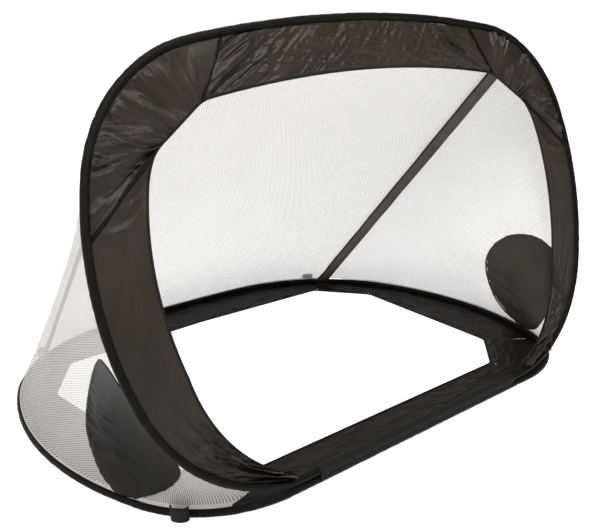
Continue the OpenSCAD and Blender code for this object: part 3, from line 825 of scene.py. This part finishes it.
class GOAL_OT_front_panels(bpy.types.Operator):
    """Cut and crease the five panels round the mouth"""
    bl_idname = "goal.front_panels"
    bl_label = "Front panels"

    def execute(self, context):
        shape = shape_of(context)
        for side_name, side in SIDES.items():
            self.side_panel(context, shape, side_name, side)
            self.corner_panel(context, shape, side_name, side)
            self.seams(context, shape, side_name, side)
        self.top_panel(context, shape)
        return {"FINISHED"}

    def panel(self, context, shape, name, columns, rows, outer, inner, folds, side, length,
              width):
        def lift(points, u, v):
            held = smooth(v/0.05)*smooth((1 - v)/0.04)
            n = folds(u, v)*held
            # Over the seam allowance the cloth can only fold forwards
            softness = 0.0012
            forwards = 0.5*(n + np.sqrt(n*n + softness**2))
            n = forwards + (n - forwards)*smooth((v - 0.2)/0.15)
            side_of = side if np.isscalar(side) else np.where(u < 0.5, -1.0, 1.0)
            return shape.on_front(mirrored(points, side_of), n)

        place = between(outer, inner, lift)
        plain = between(outer, inner, lambda points, u, v: shape.on_front(points, 0.0))
        piece = make_sheet(name, columns, rows, place, metres(length, width),
                           shape.sizes.cloth_thickness, np.isscalar(side) and side < 0,
                           material=finish_for(context, "panel_fabric"))
        dress(piece, "front_hoop", "panel_fabric", name)
        area = area_of(plain) if np.isscalar(side) else 2*area_of(
            lambda u, v: plain(0.5 + u/2, v))
        declare(max(width, 1.02*area/length), length, "stretched",
                area=area)
        return piece

    def side_panel(self, context, shape, side_name, side):
        start, seam = shape.panel_from, shape.FRONT_SEAM_LOW
        edge_in = shape.r*0.85
        folds, seed = shape.folds, shape.folds.seed + (0 if side > 0 else 40)

        def outer(u):
            return shape.front.at(start + (seam - start)*u, edge_in)

        def inner(u):
            t = start + (seam - start)*u + (shape.MOUTH_LOW - seam)*u**3
            reach = np.interp(t, shape.mouth_turns, shape.mouth_reach)
            low = shape.mouth.corners[0]/shape.mouth_reach[-1]
            return shape.mouth.at(reach*low)

        length = float(shape.front.reach(seam) - shape.front.reach(start)) + 0.09
        width = shape.sizes.side_panel

        def creases(u, v):
            along, across = u*length, v*width
            low = smooth((0.6 - u)/0.45)
            busy = 0.2 + 0.8*smooth((0.7 - u)/0.4)
            n = folds.crease*busy*drag(along, across, -6, 0.2, 0.017, seed)
            n += folds.crease*0.5*busy*drag(along, across, 8, 0.13, 0.009, seed + 2)
            n += folds.slack*low*drag(along, across, -15, 0.26, 0.028, seed + 4)
            n += folds.slack*0.3*low*drag(along, across, -22, 0.17, 0.012, seed + 5)
            top = smooth((u - 0.8)/0.15)
            n += folds.slack*0.16*top*drag(along, across, -36, 0.12, 0.02, seed + 8)
            return n*smooth((1 - u)/0.05) + 0.0012*np.sin(v*np.pi)

        self.panel(context, shape, f"front_panel_{side_name}", 420, 56, outer, inner, creases,
                   side, length, width)

    def corner_panel(self, context, shape, side_name, side):
        low, top = shape.FRONT_SEAM_LOW, shape.FRONT_SEAM_TOP
        folds, seed = shape.folds, shape.folds.seed + (11 if side > 0 else 51)
        v1, v2 = shape.mouth.corners
        length = float(shape.front.reach(top) - shape.front.reach(low))
        width = 0.125

        def outer(u):
            return shape.front.at(low + (top - low)*u, shape.r*0.85)

        def inner(u):
            return shape.mouth.at(v1 + (v2 - v1)*u)

        def creases(u, v):
            # The folds fan out from the mouth's short edge to the sleeve, and are fine there
            seamed = smooth(u/0.05)*smooth((1 - u)/0.05)
            uneven = 0.35 + 0.65*smooth(0.6 + 0.7*ripple(u*7, v*1.7, seed + 12))
            pleated = uneven*(1 + 1.1*np.exp(-(1 - u)/0.11) + 0.6*np.exp(-u/0.1))
            fan = u + 0.035*ripple(u*4.5, v*1.8, seed + 9)
            n = folds.slack*0.5*np.sin(np.pi*v)**0.7*ripple(fan*8, v*1.1, seed)
            n += folds.gather*np.exp(-v/0.5)*(crease(fan*16, v*1.3, seed + 1) - 0.35)
            n += folds.gather*0.5*np.exp(-v/0.3)*(crease(fan*39, v*2.3, seed + 2) - 0.35)
            # Here and there the cloth is dragged across towards the lower seam
            across, along = v*width, u*length
            n += folds.slack*0.45*smooth((0.75 - u)/0.5)*drag(along, across, -48, 0.13, 0.019,
                                                              seed + 6)
            return n*pleated*seamed + 0.003*np.sin(v*np.pi)

        self.panel(context, shape, f"front_panel_corner_{side_name}", 460, 64, outer, inner,
                   creases, side, length, width)

    def top_panel(self, context, shape):
        folds, seed = shape.folds, shape.folds.seed + 23
        v2 = shape.mouth.corners[1]
        top = shape.FRONT_SEAM_TOP
        length = 2*float(shape.front.half.length - shape.front.reach(top))
        width = shape.sizes.top_panel

        def outer(u):
            return shape.front.at(180 - (180 - top)*np.abs(2*u - 1), shape.r*0.85)

        def inner(u):
            whole = shape.mouth.length
            return shape.mouth.at(whole - (whole - v2)*np.abs(2*u - 1))

        def creases(u, v):
            along, across = u*length, v*width
            puckers = np.exp(-v/0.22)
            n = folds.crease*1.3*puckers*(crease(along/0.024, v*1.6, seed) - 0.4)
            far = np.abs(2*u - 1)
            tilt = np.where(u < 0.5, 1, -1)
            n += folds.slack*0.8*smooth((far - 0.45)/0.4)*drag(along*tilt, across, -33, 0.12,
                                                               0.022, seed + 2)
            n += folds.crease*0.8*drag(along, across, 10, 0.11, 0.022, seed + 4)
            n += folds.crease*0.5*drag(along, across, -48, 0.06, 0.014, seed + 7)
            return n*smooth((1 - far)/0.06) + 0.0015*np.sin(v*np.pi)

        self.panel(context, shape, "front_panel_top", 460, 50, outer, inner, creases, None,
                   length, width)

    def seams(self, context, shape, side_name, side):
        """The folded seams between a corner panel and its neighbours."""
        fold_w = 0.0075
        for name, t, corner in (("low", shape.FRONT_SEAM_LOW, 0),
                                ("top", shape.FRONT_SEAM_TOP, 1)):
            a = shape.front.at(t, shape.r*0.9)
            b = shape.mouth.at(shape.mouth.corners[corner])
            step = (b - a)/np.linalg.norm(b - a)
            across = np.array([-step[1], step[0]])
            seed = shape.folds.seed + 60 + corner + 2*side

            def place(u, v, a=a, b=b, across=across, seed=seed):
                wander = 0.0009*ripple(v*9, 0*v, seed)
                wide = fold_w*(0.8 + 0.25*ripple(v*6, 0*v, seed + 1))
                points = a + v[:, None]*(b - a) + ((u - 0.5)*wide + wander)[:, None]*across
                ridge = 0.0034*np.sin(np.pi*u)**0.7 + 0.0006*ripple(v*25, u*2, seed + 2)
                return shape.on_front(mirrored(points, side), 0.0008 + ridge)

            length = float(np.linalg.norm(b - a))
            seam = make_sheet(f"front_seam_{name}_{side_name}", 12, 90, place,
                              metres(fold_w, length), shape.sizes.cloth_thickness, side < 0,
                              material=finish_for(context, "sleeve_fabric"))
            dress(seam, "front_hoop", "sleeve_fabric")
            declare(0.01, length, "folded")


def bound_edge(name, track, lift, width, thickness, material, start=0.0):
    """A tape folded over the edge of a mouth or an opening, on both its halves."""
    length = track.length - start

    def place(u, v):
        side = np.where(v < 0.5, 1.0, -1.0)
        reach = start + (1 - np.abs(2*v - 1))*length
        angle = 2*math.pi*u
        x = -0.35*width*np.cos(angle) + 0.15*width
        z = 0.5*thickness*np.sin(angle)
        ripples = 1 + 0.09*ripple(v*length*2/0.006, 2*np.abs(u - 0.5), 71)
        middle = track.at(reach) - (x*1.45)[:, None]*track.outside(reach)
        return lift(mirrored(middle, side), z*ripples)

    return make_sheet(name, 12, 900, place, metres(2*width, 2*length), material=material)


class GOAL_OT_bindings(bpy.types.Operator):
    """Bind the edge of the mouth and the edge of the opening in the base"""
    bl_idname = "goal.bindings"
    bl_label = "Bindings"

    def execute(self, context):
        shape = shape_of(context)
        sizes = shape.sizes
        material = finish_for(context, "binding_fabric")
        w, t = sizes.binding_width, sizes.binding_thickness
        from_turn = math.degrees(math.asin((sizes.seam_reach + 0.00035)/sizes.side_panel))
        start = float(np.interp(from_turn, shape.mouth_turns, shape.mouth_reach))
        mouth = bound_edge("front_binding", shape.mouth, shape.on_front, w, t, material, start)
        dress(mouth, "front_hoop", "binding_fabric", "front_binding")
        opening = bound_edge("base_binding", shape.opening,
                             lambda p, z: shape.on_base(p, z + t/2), w, t, material)
        dress(opening, "base", "binding_fabric", "base_binding")
        return {"FINISHED"}


class GOAL_OT_ground_bands(bpy.types.Operator):
    """Lay the bands and corner pieces of the base on the ground"""
    bl_idname = "goal.ground_bands"
    bl_label = "Ground bands"

    def execute(self, context):
        shape = shape_of(context)
        self.base, self.opening = shape.base, shape.opening
        front, side_low, side_top, rear = shape.BASE_SEAMS
        c = shape.opening.corners
        reach = shape.base.reach
        whole = shape.base.half.length
        self.band(context, shape, "base_band_front", (0, reach(front)), (0, c[0]), None, 1)
        self.band(context, shape, "base_band_rear", (whole, reach(rear)),
                  (self.opening.length, c[3]), None, 2)
        for name, side in SIDES.items():
            seed = 3 + side
            self.band(context, shape, f"base_corner_front_{name}",
                      (reach(front), reach(side_low)), (c[0], c[1]), side, 10 + seed)
            self.band(context, shape, f"base_band_{name}",
                      (reach(side_low), reach(side_top)), (c[1], c[2]), side, 20 + seed)
            self.band(context, shape, f"base_corner_rear_{name}",
                      (reach(side_top), reach(rear)), (c[2], c[3]), side, 30 + seed)
        return {"FINISHED"}

    def band(self, context, shape, name, outside, inside, side, seed):
        """A band between two stretches of the hoop and the opening. Where side is None the
        stretches start on the middle line, and the band runs on over it."""
        def share(u):
            return u if side else np.abs(2*u - 1)

        def outer(u):
            reach = outside[0] + (outside[1] - outside[0])*share(u)
            t = np.interp(reach, self.base.half.reach, self.base.turns)
            return self.base.half.at(reach) - shape.r*0.8*outward(t)

        def inner(u):
            return self.opening.at(inside[0] + (inside[1] - inside[0])*share(u))

        length = abs(outside[1] - outside[0])*(1 if side else 2)
        inner_length = abs(inside[1] - inside[0])*(1 if side else 2)
        length = float(max(length, inner_length))
        width = float(np.linalg.norm(outer(np.array([0.0])) - inner(np.array([0.0]))))
        width = max(width, float(np.linalg.norm(outer(np.array([1.0])) - inner(np.array([1.0])))))
        cloth = shape.sizes.cloth_thickness

        def lift(points, u, v):
            side_of = side if side else np.where(u < 0.5, -1.0, 1.0)
            along, across = u*length, v*width
            held = smooth(v/0.12)*smooth((1 - v)/0.08)
            deep = shape.folds.band
            h = deep*0.8*np.maximum(drag(along, across, 4, 0.16, 0.02, seed), 0)
            h = h + deep*0.5*np.maximum(drag(along, across, -14, 0.1, 0.014, seed + 3), 0)
            ends = 1 - 0.6*smooth((np.abs(2*u - 1) - 0.9)/0.1)
            return shape.on_base(mirrored(points, side_of), cloth*0.6 + h*held*ends)

        place = between(outer, inner, lift)
        plain = between(outer, inner, lambda points, u, v: shape.on_base(points, 0.0))
        area = area_of(plain) if side else 2*area_of(lambda u, v: plain(0.5 + u/2, v))
        # The bands' finish is the panels' nylon darkened: painted shade for the ground
        piece = make_sheet(name, max(60, int(length/0.0026)), 44, place, metres(length, width),
                           cloth, side is not None and side < 0,
                           material=finish_for(context, "shaded_panel_fabric"))
        dress(piece, "base", "panel_fabric", name)
        declare(max(width, 1.02*area/length), length, "laid", area=area)


class GOAL_OT_hinge_tape(bpy.types.Operator):
    """Wrap the tape that holds the two sleeves together"""
    bl_idname = "goal.hinge_tape"
    bl_label = "Hinge tape"

    def execute(self, context):
        shape = shape_of(context)
        half = shape.front.straight - 0.017
        r = shape.tape_r - 0.0005
        rise = shape.hinge_up
        width = math.pi*r + 2*rise

        def place(u, v):
            reach = u*width
            over = np.clip((reach - rise)/(math.pi*r), 0, 1)*math.pi
            y = -r*np.cos(over)
            up = np.where(reach < rise, reach, np.where(reach > width - rise, width - reach,
                                                        rise + r*np.sin(over)))
            along = (2*v - 1)*half
            waist = np.exp(-((up - rise/2)/0.0035)**2)
            nip = waist*(0.0016 + 0.0006*ripple(along/0.02, 0*v, 81))
            y = y + np.where(y < 0, nip, -nip) + 0.0002*ripple(along/0.012, u*4, 82)
            return np.stack([along, shape.hinge_y + y, shape.r + up], -1)

        tape = make_sheet("hinge_tape", 40, 320, place, metres(width, 2*half), 0.0008,
                          material=finish_for(context, "webbing"))
        dress(tape, "base", "webbing", "hinge_tape")
        declare(width, 2*half, "folded")
        return {"FINISHED"}


class GOAL_OT_peg_loops(bpy.types.Operator):
    """Sew on the four webbing loops for the ground pegs"""
    bl_idname = "goal.peg_loops"
    bl_label = "Peg loops"

    def execute(self, context):
        shape = shape_of(context)
        sizes = shape.sizes
        r = sizes.loop_length/2 - sizes.webbing_thickness/2
        out = sizes.loop_out - sizes.loop_length/2
        flattened, off_ground = 0.6, 0.0012
        length = math.pi*r + 2*max(out, 0.0)
        for place_name, t in shape.PEG_LOOPS.items():
            middle, normal = shape.base.at(t), outward(t)
            along = np.array([-normal[1], normal[0]])
            for side_name, side in SIDES.items():
                def place(u, v, middle=middle, normal=normal, along=along, side=side):
                    reach = v*length
                    angle = np.clip((reach - out)/(math.pi*r), 0, 1)*math.pi
                    x = np.where(reach < out, reach, np.where(reach > length - out,
                                 length - reach, out + r*np.sin(angle)))*flattened
                    y = -r*np.cos(angle)
                    z = off_ground + u*sizes.webbing_height
                    sag = 0.0012*np.sin(angle)*(u - 0.5)
                    points = middle + (shape.r + x + sag)[:, None]*normal + y[:, None]*along
                    return shape.on_base(mirrored(points, side), z)

                name = f"peg_loop_{place_name}_{side_name}"
                loop = make_sheet(name, 10, 40, place, metres(sizes.webbing_height, length),
                                  sizes.webbing_thickness, side < 0,
                                  material=finish_for(context, "webbing"))
                dress(loop, "base", "webbing", name)
                declare(sizes.webbing_height, length, "folded")
        return {"FINISHED"}


class GOAL_OT_strut_tabs(bpy.types.Operator):
    """Sew on the tabs that hold the struts' ends"""
    bl_idname = "goal.strut_tabs"
    bl_label = "Strut tabs"

    def execute(self, context):
        shape = shape_of(context)
        sizes = shape.sizes
        thick, material = sizes.tab_thickness, finish_for(context, "webbing")
        seam_top = 2*sizes.panel_thickness - shape.r
        r = shape.r + 0.00005 + thick/2
        lies = seam_top + thick/2
        for side_name, side in SIDES.items():
            base_turn = math.degrees(sizes.tab_length/shape.base.radii[2])

            def foot(u, v, side=side):
                flat, wall, arc = sizes.tab_reach - r, -lies, math.pi*r
                reach = v*(flat + wall + arc)
                angle = np.clip((reach - flat - wall)/arc, 0, 1)*math.pi
                x = np.where(reach < flat, -sizes.tab_reach + reach, -r*np.cos(angle))
                z = np.where(reach < flat + wall, lies + np.clip(reach - flat, 0, wall),
                             r*np.sin(angle))
                t = shape.STRUT_FOOT + (u - 0.5)*base_turn
                points = shape.base.at(t) + x[:, None]*outward(t)
                return shape.on_base(mirrored(points, side), shape.r + z)

            def head(u, v, side=side):
                t = shape.STRUT_HEAD
                normal = outward(t)
                along = np.array([-normal[1], normal[0]])
                x = -sizes.tab_reach + v*(sizes.tab_reach - shape.r)
                y = (u - 0.5)*sizes.tab_length
                points = shape.front.at(t) + x[:, None]*normal + y[:, None]*along
                n = -1.5*sizes.panel_thickness - thick/2
                return shape.on_front(mirrored(points, side), n)

            long = sizes.tab_reach + math.pi*r - lies - r
            for name, place, body, length, held in (
                    ("strut_foot_tab", foot, "base", long, "folded"),
                    ("strut_head_tab", head, "front_hoop", sizes.tab_reach - shape.r, "laid")):
                tab = make_sheet(f"{name}_{side_name}", 14, 30, place,
                                 metres(sizes.tab_length, length), thick, side < 0,
                                 material=material)
                dress(tab, body, "webbing", f"{name}_{side_name}")
                sleeve = "base_sleeve" if body == "base" else "front_sleeve"
                declare(sizes.tab_length, length, held)
        return {"FINISHED"}


class GOAL_OT_struts(bpy.types.Operator):
    """Make the two struts: a flat cloth sleeve with a rod inside"""
    bl_idname = "goal.struts"
    bl_label = "Struts"

    def execute(self, context):
        shape = shape_of(context)
        sizes = shape.sizes
        foot, head = shape.strut_line()
        run = head - foot
        length = float(np.linalg.norm(run))
        tilt, heading = math.acos(run[2]/length), math.atan2(run[1], run[0])
        frame_of = (Matrix.Rotation(heading, 3, "Z") @ Matrix.Rotation(tilt, 3, "Y")
                    @ Matrix.Rotation(math.radians(45), 3, "Z"))
        wide, thick = np.array(frame_of.col[0]), np.array(frame_of.col[1])
        axis = run/length
        overrun, rod_end = 0.02, 0.006
        for side_name, side in SIDES.items():
            seed = 91 + side

            def trim(points, clear=0.0015):
                """Slides the ends along the strut until they lie on the two hoops' tabs."""
                up = shape.front_normal
                low = (shape.foot_z + clear - foot[2])/axis[2]
                reach = (points - foot) @ axis
                floor = low - ((points - foot) - reach[:, None]*axis)[:, 2]/axis[2]
                off = (points - head) @ np.array(up)
                ceiling = reach + off/-(axis @ np.array(up))
                new = np.clip(reach, floor, np.maximum(ceiling, floor))
                return points + (new - reach)[:, None]*axis

            def sleeve(u, v, side=side, seed=seed):
                angle = 2*math.pi*u
                ends = np.maximum(smooth(1 - v/0.05), smooth(1 - (1 - v)/0.06))
                half = (sizes.strut_width + sizes.strut_flare*ends)/2
                half = half + 0.0007*ripple(v*17, np.cos(angle) > 0, seed)
                c, s = np.cos(angle), np.sin(angle)
                x = half*np.sign(c)*np.abs(c)**0.85
                bulge = sizes.strut_thickness/2*np.exp(-(x/0.0075)**2) + 0.0008
                y = np.sign(s)*bulge*np.abs(s)**0.8
                y = y + 0.0005*ripple(v*30, u*3, seed + 1)
                reach = -overrun + v*(length + 2*overrun)
                points = foot + reach[:, None]*axis + x[:, None]*wide + y[:, None]*thick
                points = trim(points)
                points[:, 0] *= side
                return points

            def rod(u, v, side=side):
                angle = 2*math.pi*u
                r = sizes.rod/2*np.clip(np.minimum(v, 1 - v)/0.004, 0, 1)**0.5
                reach = rod_end + v*(length - 2*rod_end)
                points = foot + reach[:, None]*axis
                points = points + (r*np.cos(angle))[:, None]*wide + (r*np.sin(angle))[:, None]*thick
                points[:, 0] *= side
                return points

            # Painted shade: marks the side of the strut's sleeve that faces away from the light,
            # which is coloured black
            def edge(u, v):
                return {"edge": smooth((-np.cos(2*math.pi*u) - 0.62)/0.1)}

            cloth = make_sheet(f"strut_sleeve_{side_name}", 40, 360, sleeve,
                               metres(2*sizes.strut_width, length), turned=side > 0,
                               marks=edge, material=finish_for(context, "strut_fabric"))
            inner = make_sheet(f"strut_rod_{side_name}", 16, 160, rod,
                               metres(math.pi*sizes.rod, length), turned=side > 0,
                               material=finish_for(context, "strut_rod"))
            for piece, slot in ((cloth, "strut_fabric"), (inner, "strut_rod")):
                start, end = Vector(foot), Vector(head)
                start.x *= side
                end.x *= side
                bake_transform(piece)
                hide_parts(piece.name.removeprefix("sewn_"))
            declare(2.15*sizes.strut_width, length, "folded")
        return {"FINISHED"}


def fold_net(shape, piece, upper):
    """Attaches a half net to the body of its hoop and gives it a mesh of its own."""
    if upper:
        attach(piece, "front_hoop")
        anchor = shape.on_front(np.array([0.0, 0.0]), shape.net_n)
        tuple(shape.front_normal)
        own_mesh(piece)
    else:
        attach(piece, "base")
        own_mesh(piece)


def side_share(u):
    """Share along a side net, from just behind the hinge, where the columns are closest."""
    start, reach, crowding = 0.03, 0.967, 1.6
    return start + reach*u**crowding


class GOAL_OT_nets(bpy.types.Operator):
    """Hang the mesh at the back and on both sides"""
    bl_idname = "goal.nets"
    bl_label = "Nets"

    def execute(self, context):
        shape = shape_of(context)
        material = finish_for(context, "mesh")
        hem, under_hem, strut_share = 0.005, 0.007, 0.997
        cut = shape.net_cut
        foot, head = shape.strut_line()
        depth = float(np.linalg.norm(head - foot))
        for half, low, high in (("upper", 0.0, cut), ("lower", cut, 1.0)):
            def hems(u, v, low=low, high=high, depth=depth):
                s = low + (high - low)*v
                edge = np.minimum(s, 1 - s)*depth
                return {"hem": (edge < hem).astype(float)}

            def back(u, v, low=low, high=high):
                return shape.back_point(strut_share*(2*u - 1), low + (high - low)*v)

            def back_chart(u, v, points, low=low, high=high):
                return np.stack([points[:, 0], (low + (high - low)*v)*depth], -1)

            net = make_sheet(f"net_back_{half}", 260, 120, back, back_chart, marks=hems,
                             material=material)
            width = 2*shape.base.at(shape.STRUT_FOOT)[0]
            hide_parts("net_back")
            fold_net(shape, net, half == "upper")
            area = area_of(back)
            declare(float(width), max(depth*(high - low), 1.02*area/float(width)),
                    "stretched",
                    area=area)
            for side_name, side in SIDES.items():
                def side_net(u, v, low=low, high=high, side=side):
                    points = shape.side_point(side_share(u), low + (high - low)*v)
                    points[:, 0] *= side
                    return points

                def side_hems(u, v, low=low, high=high):
                    s = low + (high - low)*v
                    edge = np.minimum(s, 1 - s)*side_share(u)*depth
                    return {"hem": (edge < hem).astype(float)}

                def side_chart(u, v, points, low=low, high=high):
                    k = side_share(u)
                    hoop = shape.base.half
                    reach = np.interp(k*shape.foot_y, hoop.points[:, 1], hoop.reach)
                    return np.stack([reach, (low + (high - low)*v)*k*depth], -1)

                def under_patch(points):
                    far = points[:, 1:3] - shape.patch_middle()
                    return np.hypot(*far.T) < shape.sizes.patch_radius - under_hem

                net = make_sheet(f"net_side_{side_name}_{half}", 240, 90, side_net, side_chart,
                                 turned=side < 0, marks=side_hems, material=material,
                                 cut_out=under_patch)
                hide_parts(f"net_side_{side_name}")
                fold_net(shape, net, half == "upper")
                area = area_of(side_net)
                width = shape.foot_y
                declare(width, max(depth*(high - low), 1.02*area/width), "stretched",
                        area=area)
        return {"FINISHED"}


class GOAL_OT_patches(bpy.types.Operator):
    """Sew the round patches onto the side nets"""
    bl_idname = "goal.patches"
    bl_label = "Patches"

    def execute(self, context):
        shape = shape_of(context)
        sizes = shape.sizes
        material = finish_for(context, "patch_fabric")
        cloth, hem_rise, off_net = 0.0026, 0.0005, 0.0002
        slope = (math.radians(90) - sizes.lean)/2
        along = np.array([math.cos(slope), math.sin(slope)])
        over = np.array([-along[1], along[0]])
        hinge = np.array([shape.hinge_y, shape.hinge_z])
        middle = shape.patch_middle()
        # Distance of the nets' cut line from the patch's middle
        cut = -float((middle - hinge) @ over)
        cut_angle = math.acos(-cut/sizes.patch_radius)
        for side_name, side in SIDES.items():
            for half, start, end in (("lower", 0.0, cut_angle), ("upper", cut_angle, math.pi)):
                def place(u, v, start=start, end=end, side=side, flat=False):
                    angle = start + (end - start)*v
                    b = -np.cos(angle)
                    a = (2*u - 1)*np.sin(angle)
                    far = np.hypot(a, b)
                    around = np.arctan2(b, a)
                    jag = 0.0008*ripple(around*16, 0*u, 95)*smooth((far - 0.8)/0.2)
                    r = sizes.patch_radius + jag
                    yz = middle[:, None] + r*a*along[:, None] + r*b*over[:, None]
                    points = shape.patch_point(yz[0] - shape.hinge_y, yz[1])
                    inside = (1 - far)*sizes.patch_radius
                    hem = hem_rise*smooth((sizes.patch_hem - inside)/0.001)
                    folds = 0.0 if flat else self.folds(a, b, side)*smooth(inside/0.012)
                    points[:, 0] += off_net + hem + folds
                    points[:, 0] *= side
                    return points

                name = f"patch_{side_name}_{half}"
                patch = make_sheet(name, 110, 80, place,
                                   lambda u, v, points: points[:, 1:3], cloth, side < 0,
                                   material=material)
                # The net is cut away under a patch. The inside face gets a paler copy of the patch
                # cloth: painted light that brightens the patches seen from inside the goal, and it
                # also stands for the net's threads, which lie over the cloth on the inside
                patch.data.materials.append(finish_for(context, "patch_lining"))
                patch.modifiers["Cloth thickness"].material_offset = 1
                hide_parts(f"patch_{side_name}")
                fold_net(shape, patch, half == "upper")
                area = area_of(lambda u, v: place(u, v, flat=True))
                declare(2*sizes.patch_radius, 1.1*area/(2*sizes.patch_radius), "laid",
                        area=area)
        return {"FINISHED"}

    def folds(self, a, b, side):
        """Slack folds low on the patch and faint upright wrinkles above."""
        low = smooth((0.1 - b)/0.6)
        upright = ripple(a*6, b*0.9, 96 + side)*0.001
        return low*0.005*drag(a*0.1, b*0.1, -28, 0.09, 0.024, 97 + side) + upright


class GOAL_OT_stage(bpy.types.Operator):
    """Set up the floor, the lights and the camera"""
    bl_idname = "goal.stage"
    bl_label = "Stage"

    def execute(self, context):
        self.floor(context)
        self.lights(context)
        self.camera(context)
        return {"FINISHED"}

    def floor(self, context):
        f = Finish("plain_floor")
        soft = f.noise(f.place(), 0.6, 2)
        tone = tuple(context.scene.goal_colours.floor)
        f.set(Base_Color=f.mix(shade(tone, 0.985), tone, soft), Roughness=0.75 + soft*0.1,
              Emission_Color=(1, 1, 1, 1), Emission_Strength=0.85)
        bm = bmesh.new()
        bmesh.ops.create_grid(bm, x_segments=1, y_segments=1, size=30)
        floor = finish_piece("floor", bm, f.material, prefix="")

    def lights(self, context):
        world = bpy.data.worlds.new("studio")
        context.scene.world = world
        world.use_nodes = True
        tree = world.node_tree
        sky = tree.nodes["Background"]
        sky.inputs["Color"].default_value = (1, 1, 1, 1)
        # The backdrop is plain white. The studio's light is soft behind the goal and on its
        # left, and dim in front of it and on its right
        direction = tree.nodes.new("ShaderNodeTexCoord")
        bright_side = tree.nodes.new("ShaderNodeVectorMath")
        bright_side.operation = "DOT_PRODUCT"
        bright_side.inputs[1].default_value = (-0.55, 0.83, 0.0)
        spread = tree.nodes.new("ShaderNodeMapRange")
        spread.interpolation_type = "SMOOTHSTEP"
        for socket, value in (("From Min", -0.45), ("From Max", 0.2), ("To Min", 0.06),
                              ("To Max", 0.85)):
            spread.inputs[socket].default_value = value
        tree.links.new(direction.outputs["Generated"], bright_side.inputs[0])
        tree.links.new(bright_side.outputs["Value"], spread.inputs["Value"])
        tree.links.new(spread.outputs[0], sky.inputs["Strength"])
        backdrop = tree.nodes.new("ShaderNodeBackground")
        backdrop.inputs["Color"].default_value = (1, 1, 1, 1)
        backdrop.inputs["Strength"].default_value = 1.02
        path = tree.nodes.new("ShaderNodeLightPath")
        either = tree.nodes.new("ShaderNodeMixShader")
        tree.links.new(path.outputs["Is Camera Ray"], either.inputs[0])
        tree.links.new(sky.outputs[0], either.inputs[1])
        tree.links.new(backdrop.outputs[0], either.inputs[2])
        tree.links.new(either.outputs[0], tree.nodes["World Output"].inputs["Surface"])
        for name, place, aim, width, power in (
                ("key", (0.3, -1.6, 3.0), (0, 0, 0.3), 0.6, 78),
                ("side", (-3.0, -0.2, 1.6), (0, 0, 0.4), 0.8, 35),
                ("satin", (-0.5, -1.2, 1.8), (-0.3, 0, 0.5), 0.3, 20)):
            light = bpy.data.lights.new(name, "AREA")
            light.shape = "DISK"
            light.size = width
            light.energy = power
            lamp = bpy.data.objects.new(name, light)
            context.scene.collection.objects.link(lamp)
            lamp.location = place
            lamp.rotation_euler = (Vector(aim) - Vector(place)).to_track_quat("-Z", "Y").to_euler()

    def camera(self, context):
        eye = (-0.992, -1.368, 0.738)
        yaw, pitch, roll = 0.666, 0.292, -0.04
        data = bpy.data.cameras.new("camera")
        data.lens = 45.6
        data.sensor_width = 36
        data.clip_start = 0.05
        camera = bpy.data.objects.new("camera", data)
        context.scene.collection.objects.link(camera)
        ahead = Vector((math.sin(yaw)*math.cos(pitch), math.cos(yaw)*math.cos(pitch),
                        -math.sin(pitch)))
        right = Vector((math.cos(yaw), -math.sin(yaw), 0))
        up = right.cross(ahead)
        right_rolled = math.cos(roll)*right + math.sin(roll)*up
        up_rolled = -math.sin(roll)*right + math.cos(roll)*up
        turned = Matrix((right_rolled, up_rolled, -ahead)).transposed().to_4x4()
        camera.matrix_world = Matrix.Translation(eye) @ turned
        context.scene.camera = camera
        context.scene.view_settings.view_transform = "Standard"


class GOAL_PT_sidebar(bpy.types.Panel):
    """Lists the goal's pieces and their sizes"""
    bl_label = "Pop-up goal"
    bl_idname = "GOAL_PT_sidebar"
    bl_space_type = "VIEW_3D"
    bl_region_type = "UI"
    bl_category = "Goal"

    def draw(self, context):
        for operator in OPERATORS:
            self.layout.operator(operator.bl_idname)
        for group in (context.scene.goal_sizes, context.scene.goal_folds,
                      context.scene.goal_colours):
            box = self.layout.box()
            for name in group.__annotations__:
                box.prop(group, name)


GROUPS = {"goal_sizes": GoalSizes, "goal_folds": GoalFolds, "goal_colours": GoalColours}
OPERATORS = (GOAL_OT_metal, GOAL_OT_sleeves, GOAL_OT_front_panels, GOAL_OT_bindings,
             GOAL_OT_ground_bands, GOAL_OT_hinge_tape, GOAL_OT_peg_loops, GOAL_OT_strut_tabs,
             GOAL_OT_struts, GOAL_OT_nets, GOAL_OT_patches, GOAL_OT_stage)
CLASSES = (*GROUPS.values(), *OPERATORS, GOAL_PT_sidebar)


def register():
    for cls in CLASSES:
        bpy.utils.register_class(cls)
    for name, group in GROUPS.items():
        setattr(bpy.types.Scene, name, PointerProperty(type=group))


def unregister():
    for name in GROUPS:
        delattr(bpy.types.Scene, name)
    for cls in reversed(CLASSES):
        bpy.utils.unregister_class(cls)


def main():
    register()
    for operator in OPERATORS:
        group, name = operator.bl_idname.split(".")
        getattr(getattr(bpy.ops, group), name)()


if __name__ == "__main__":
    main()
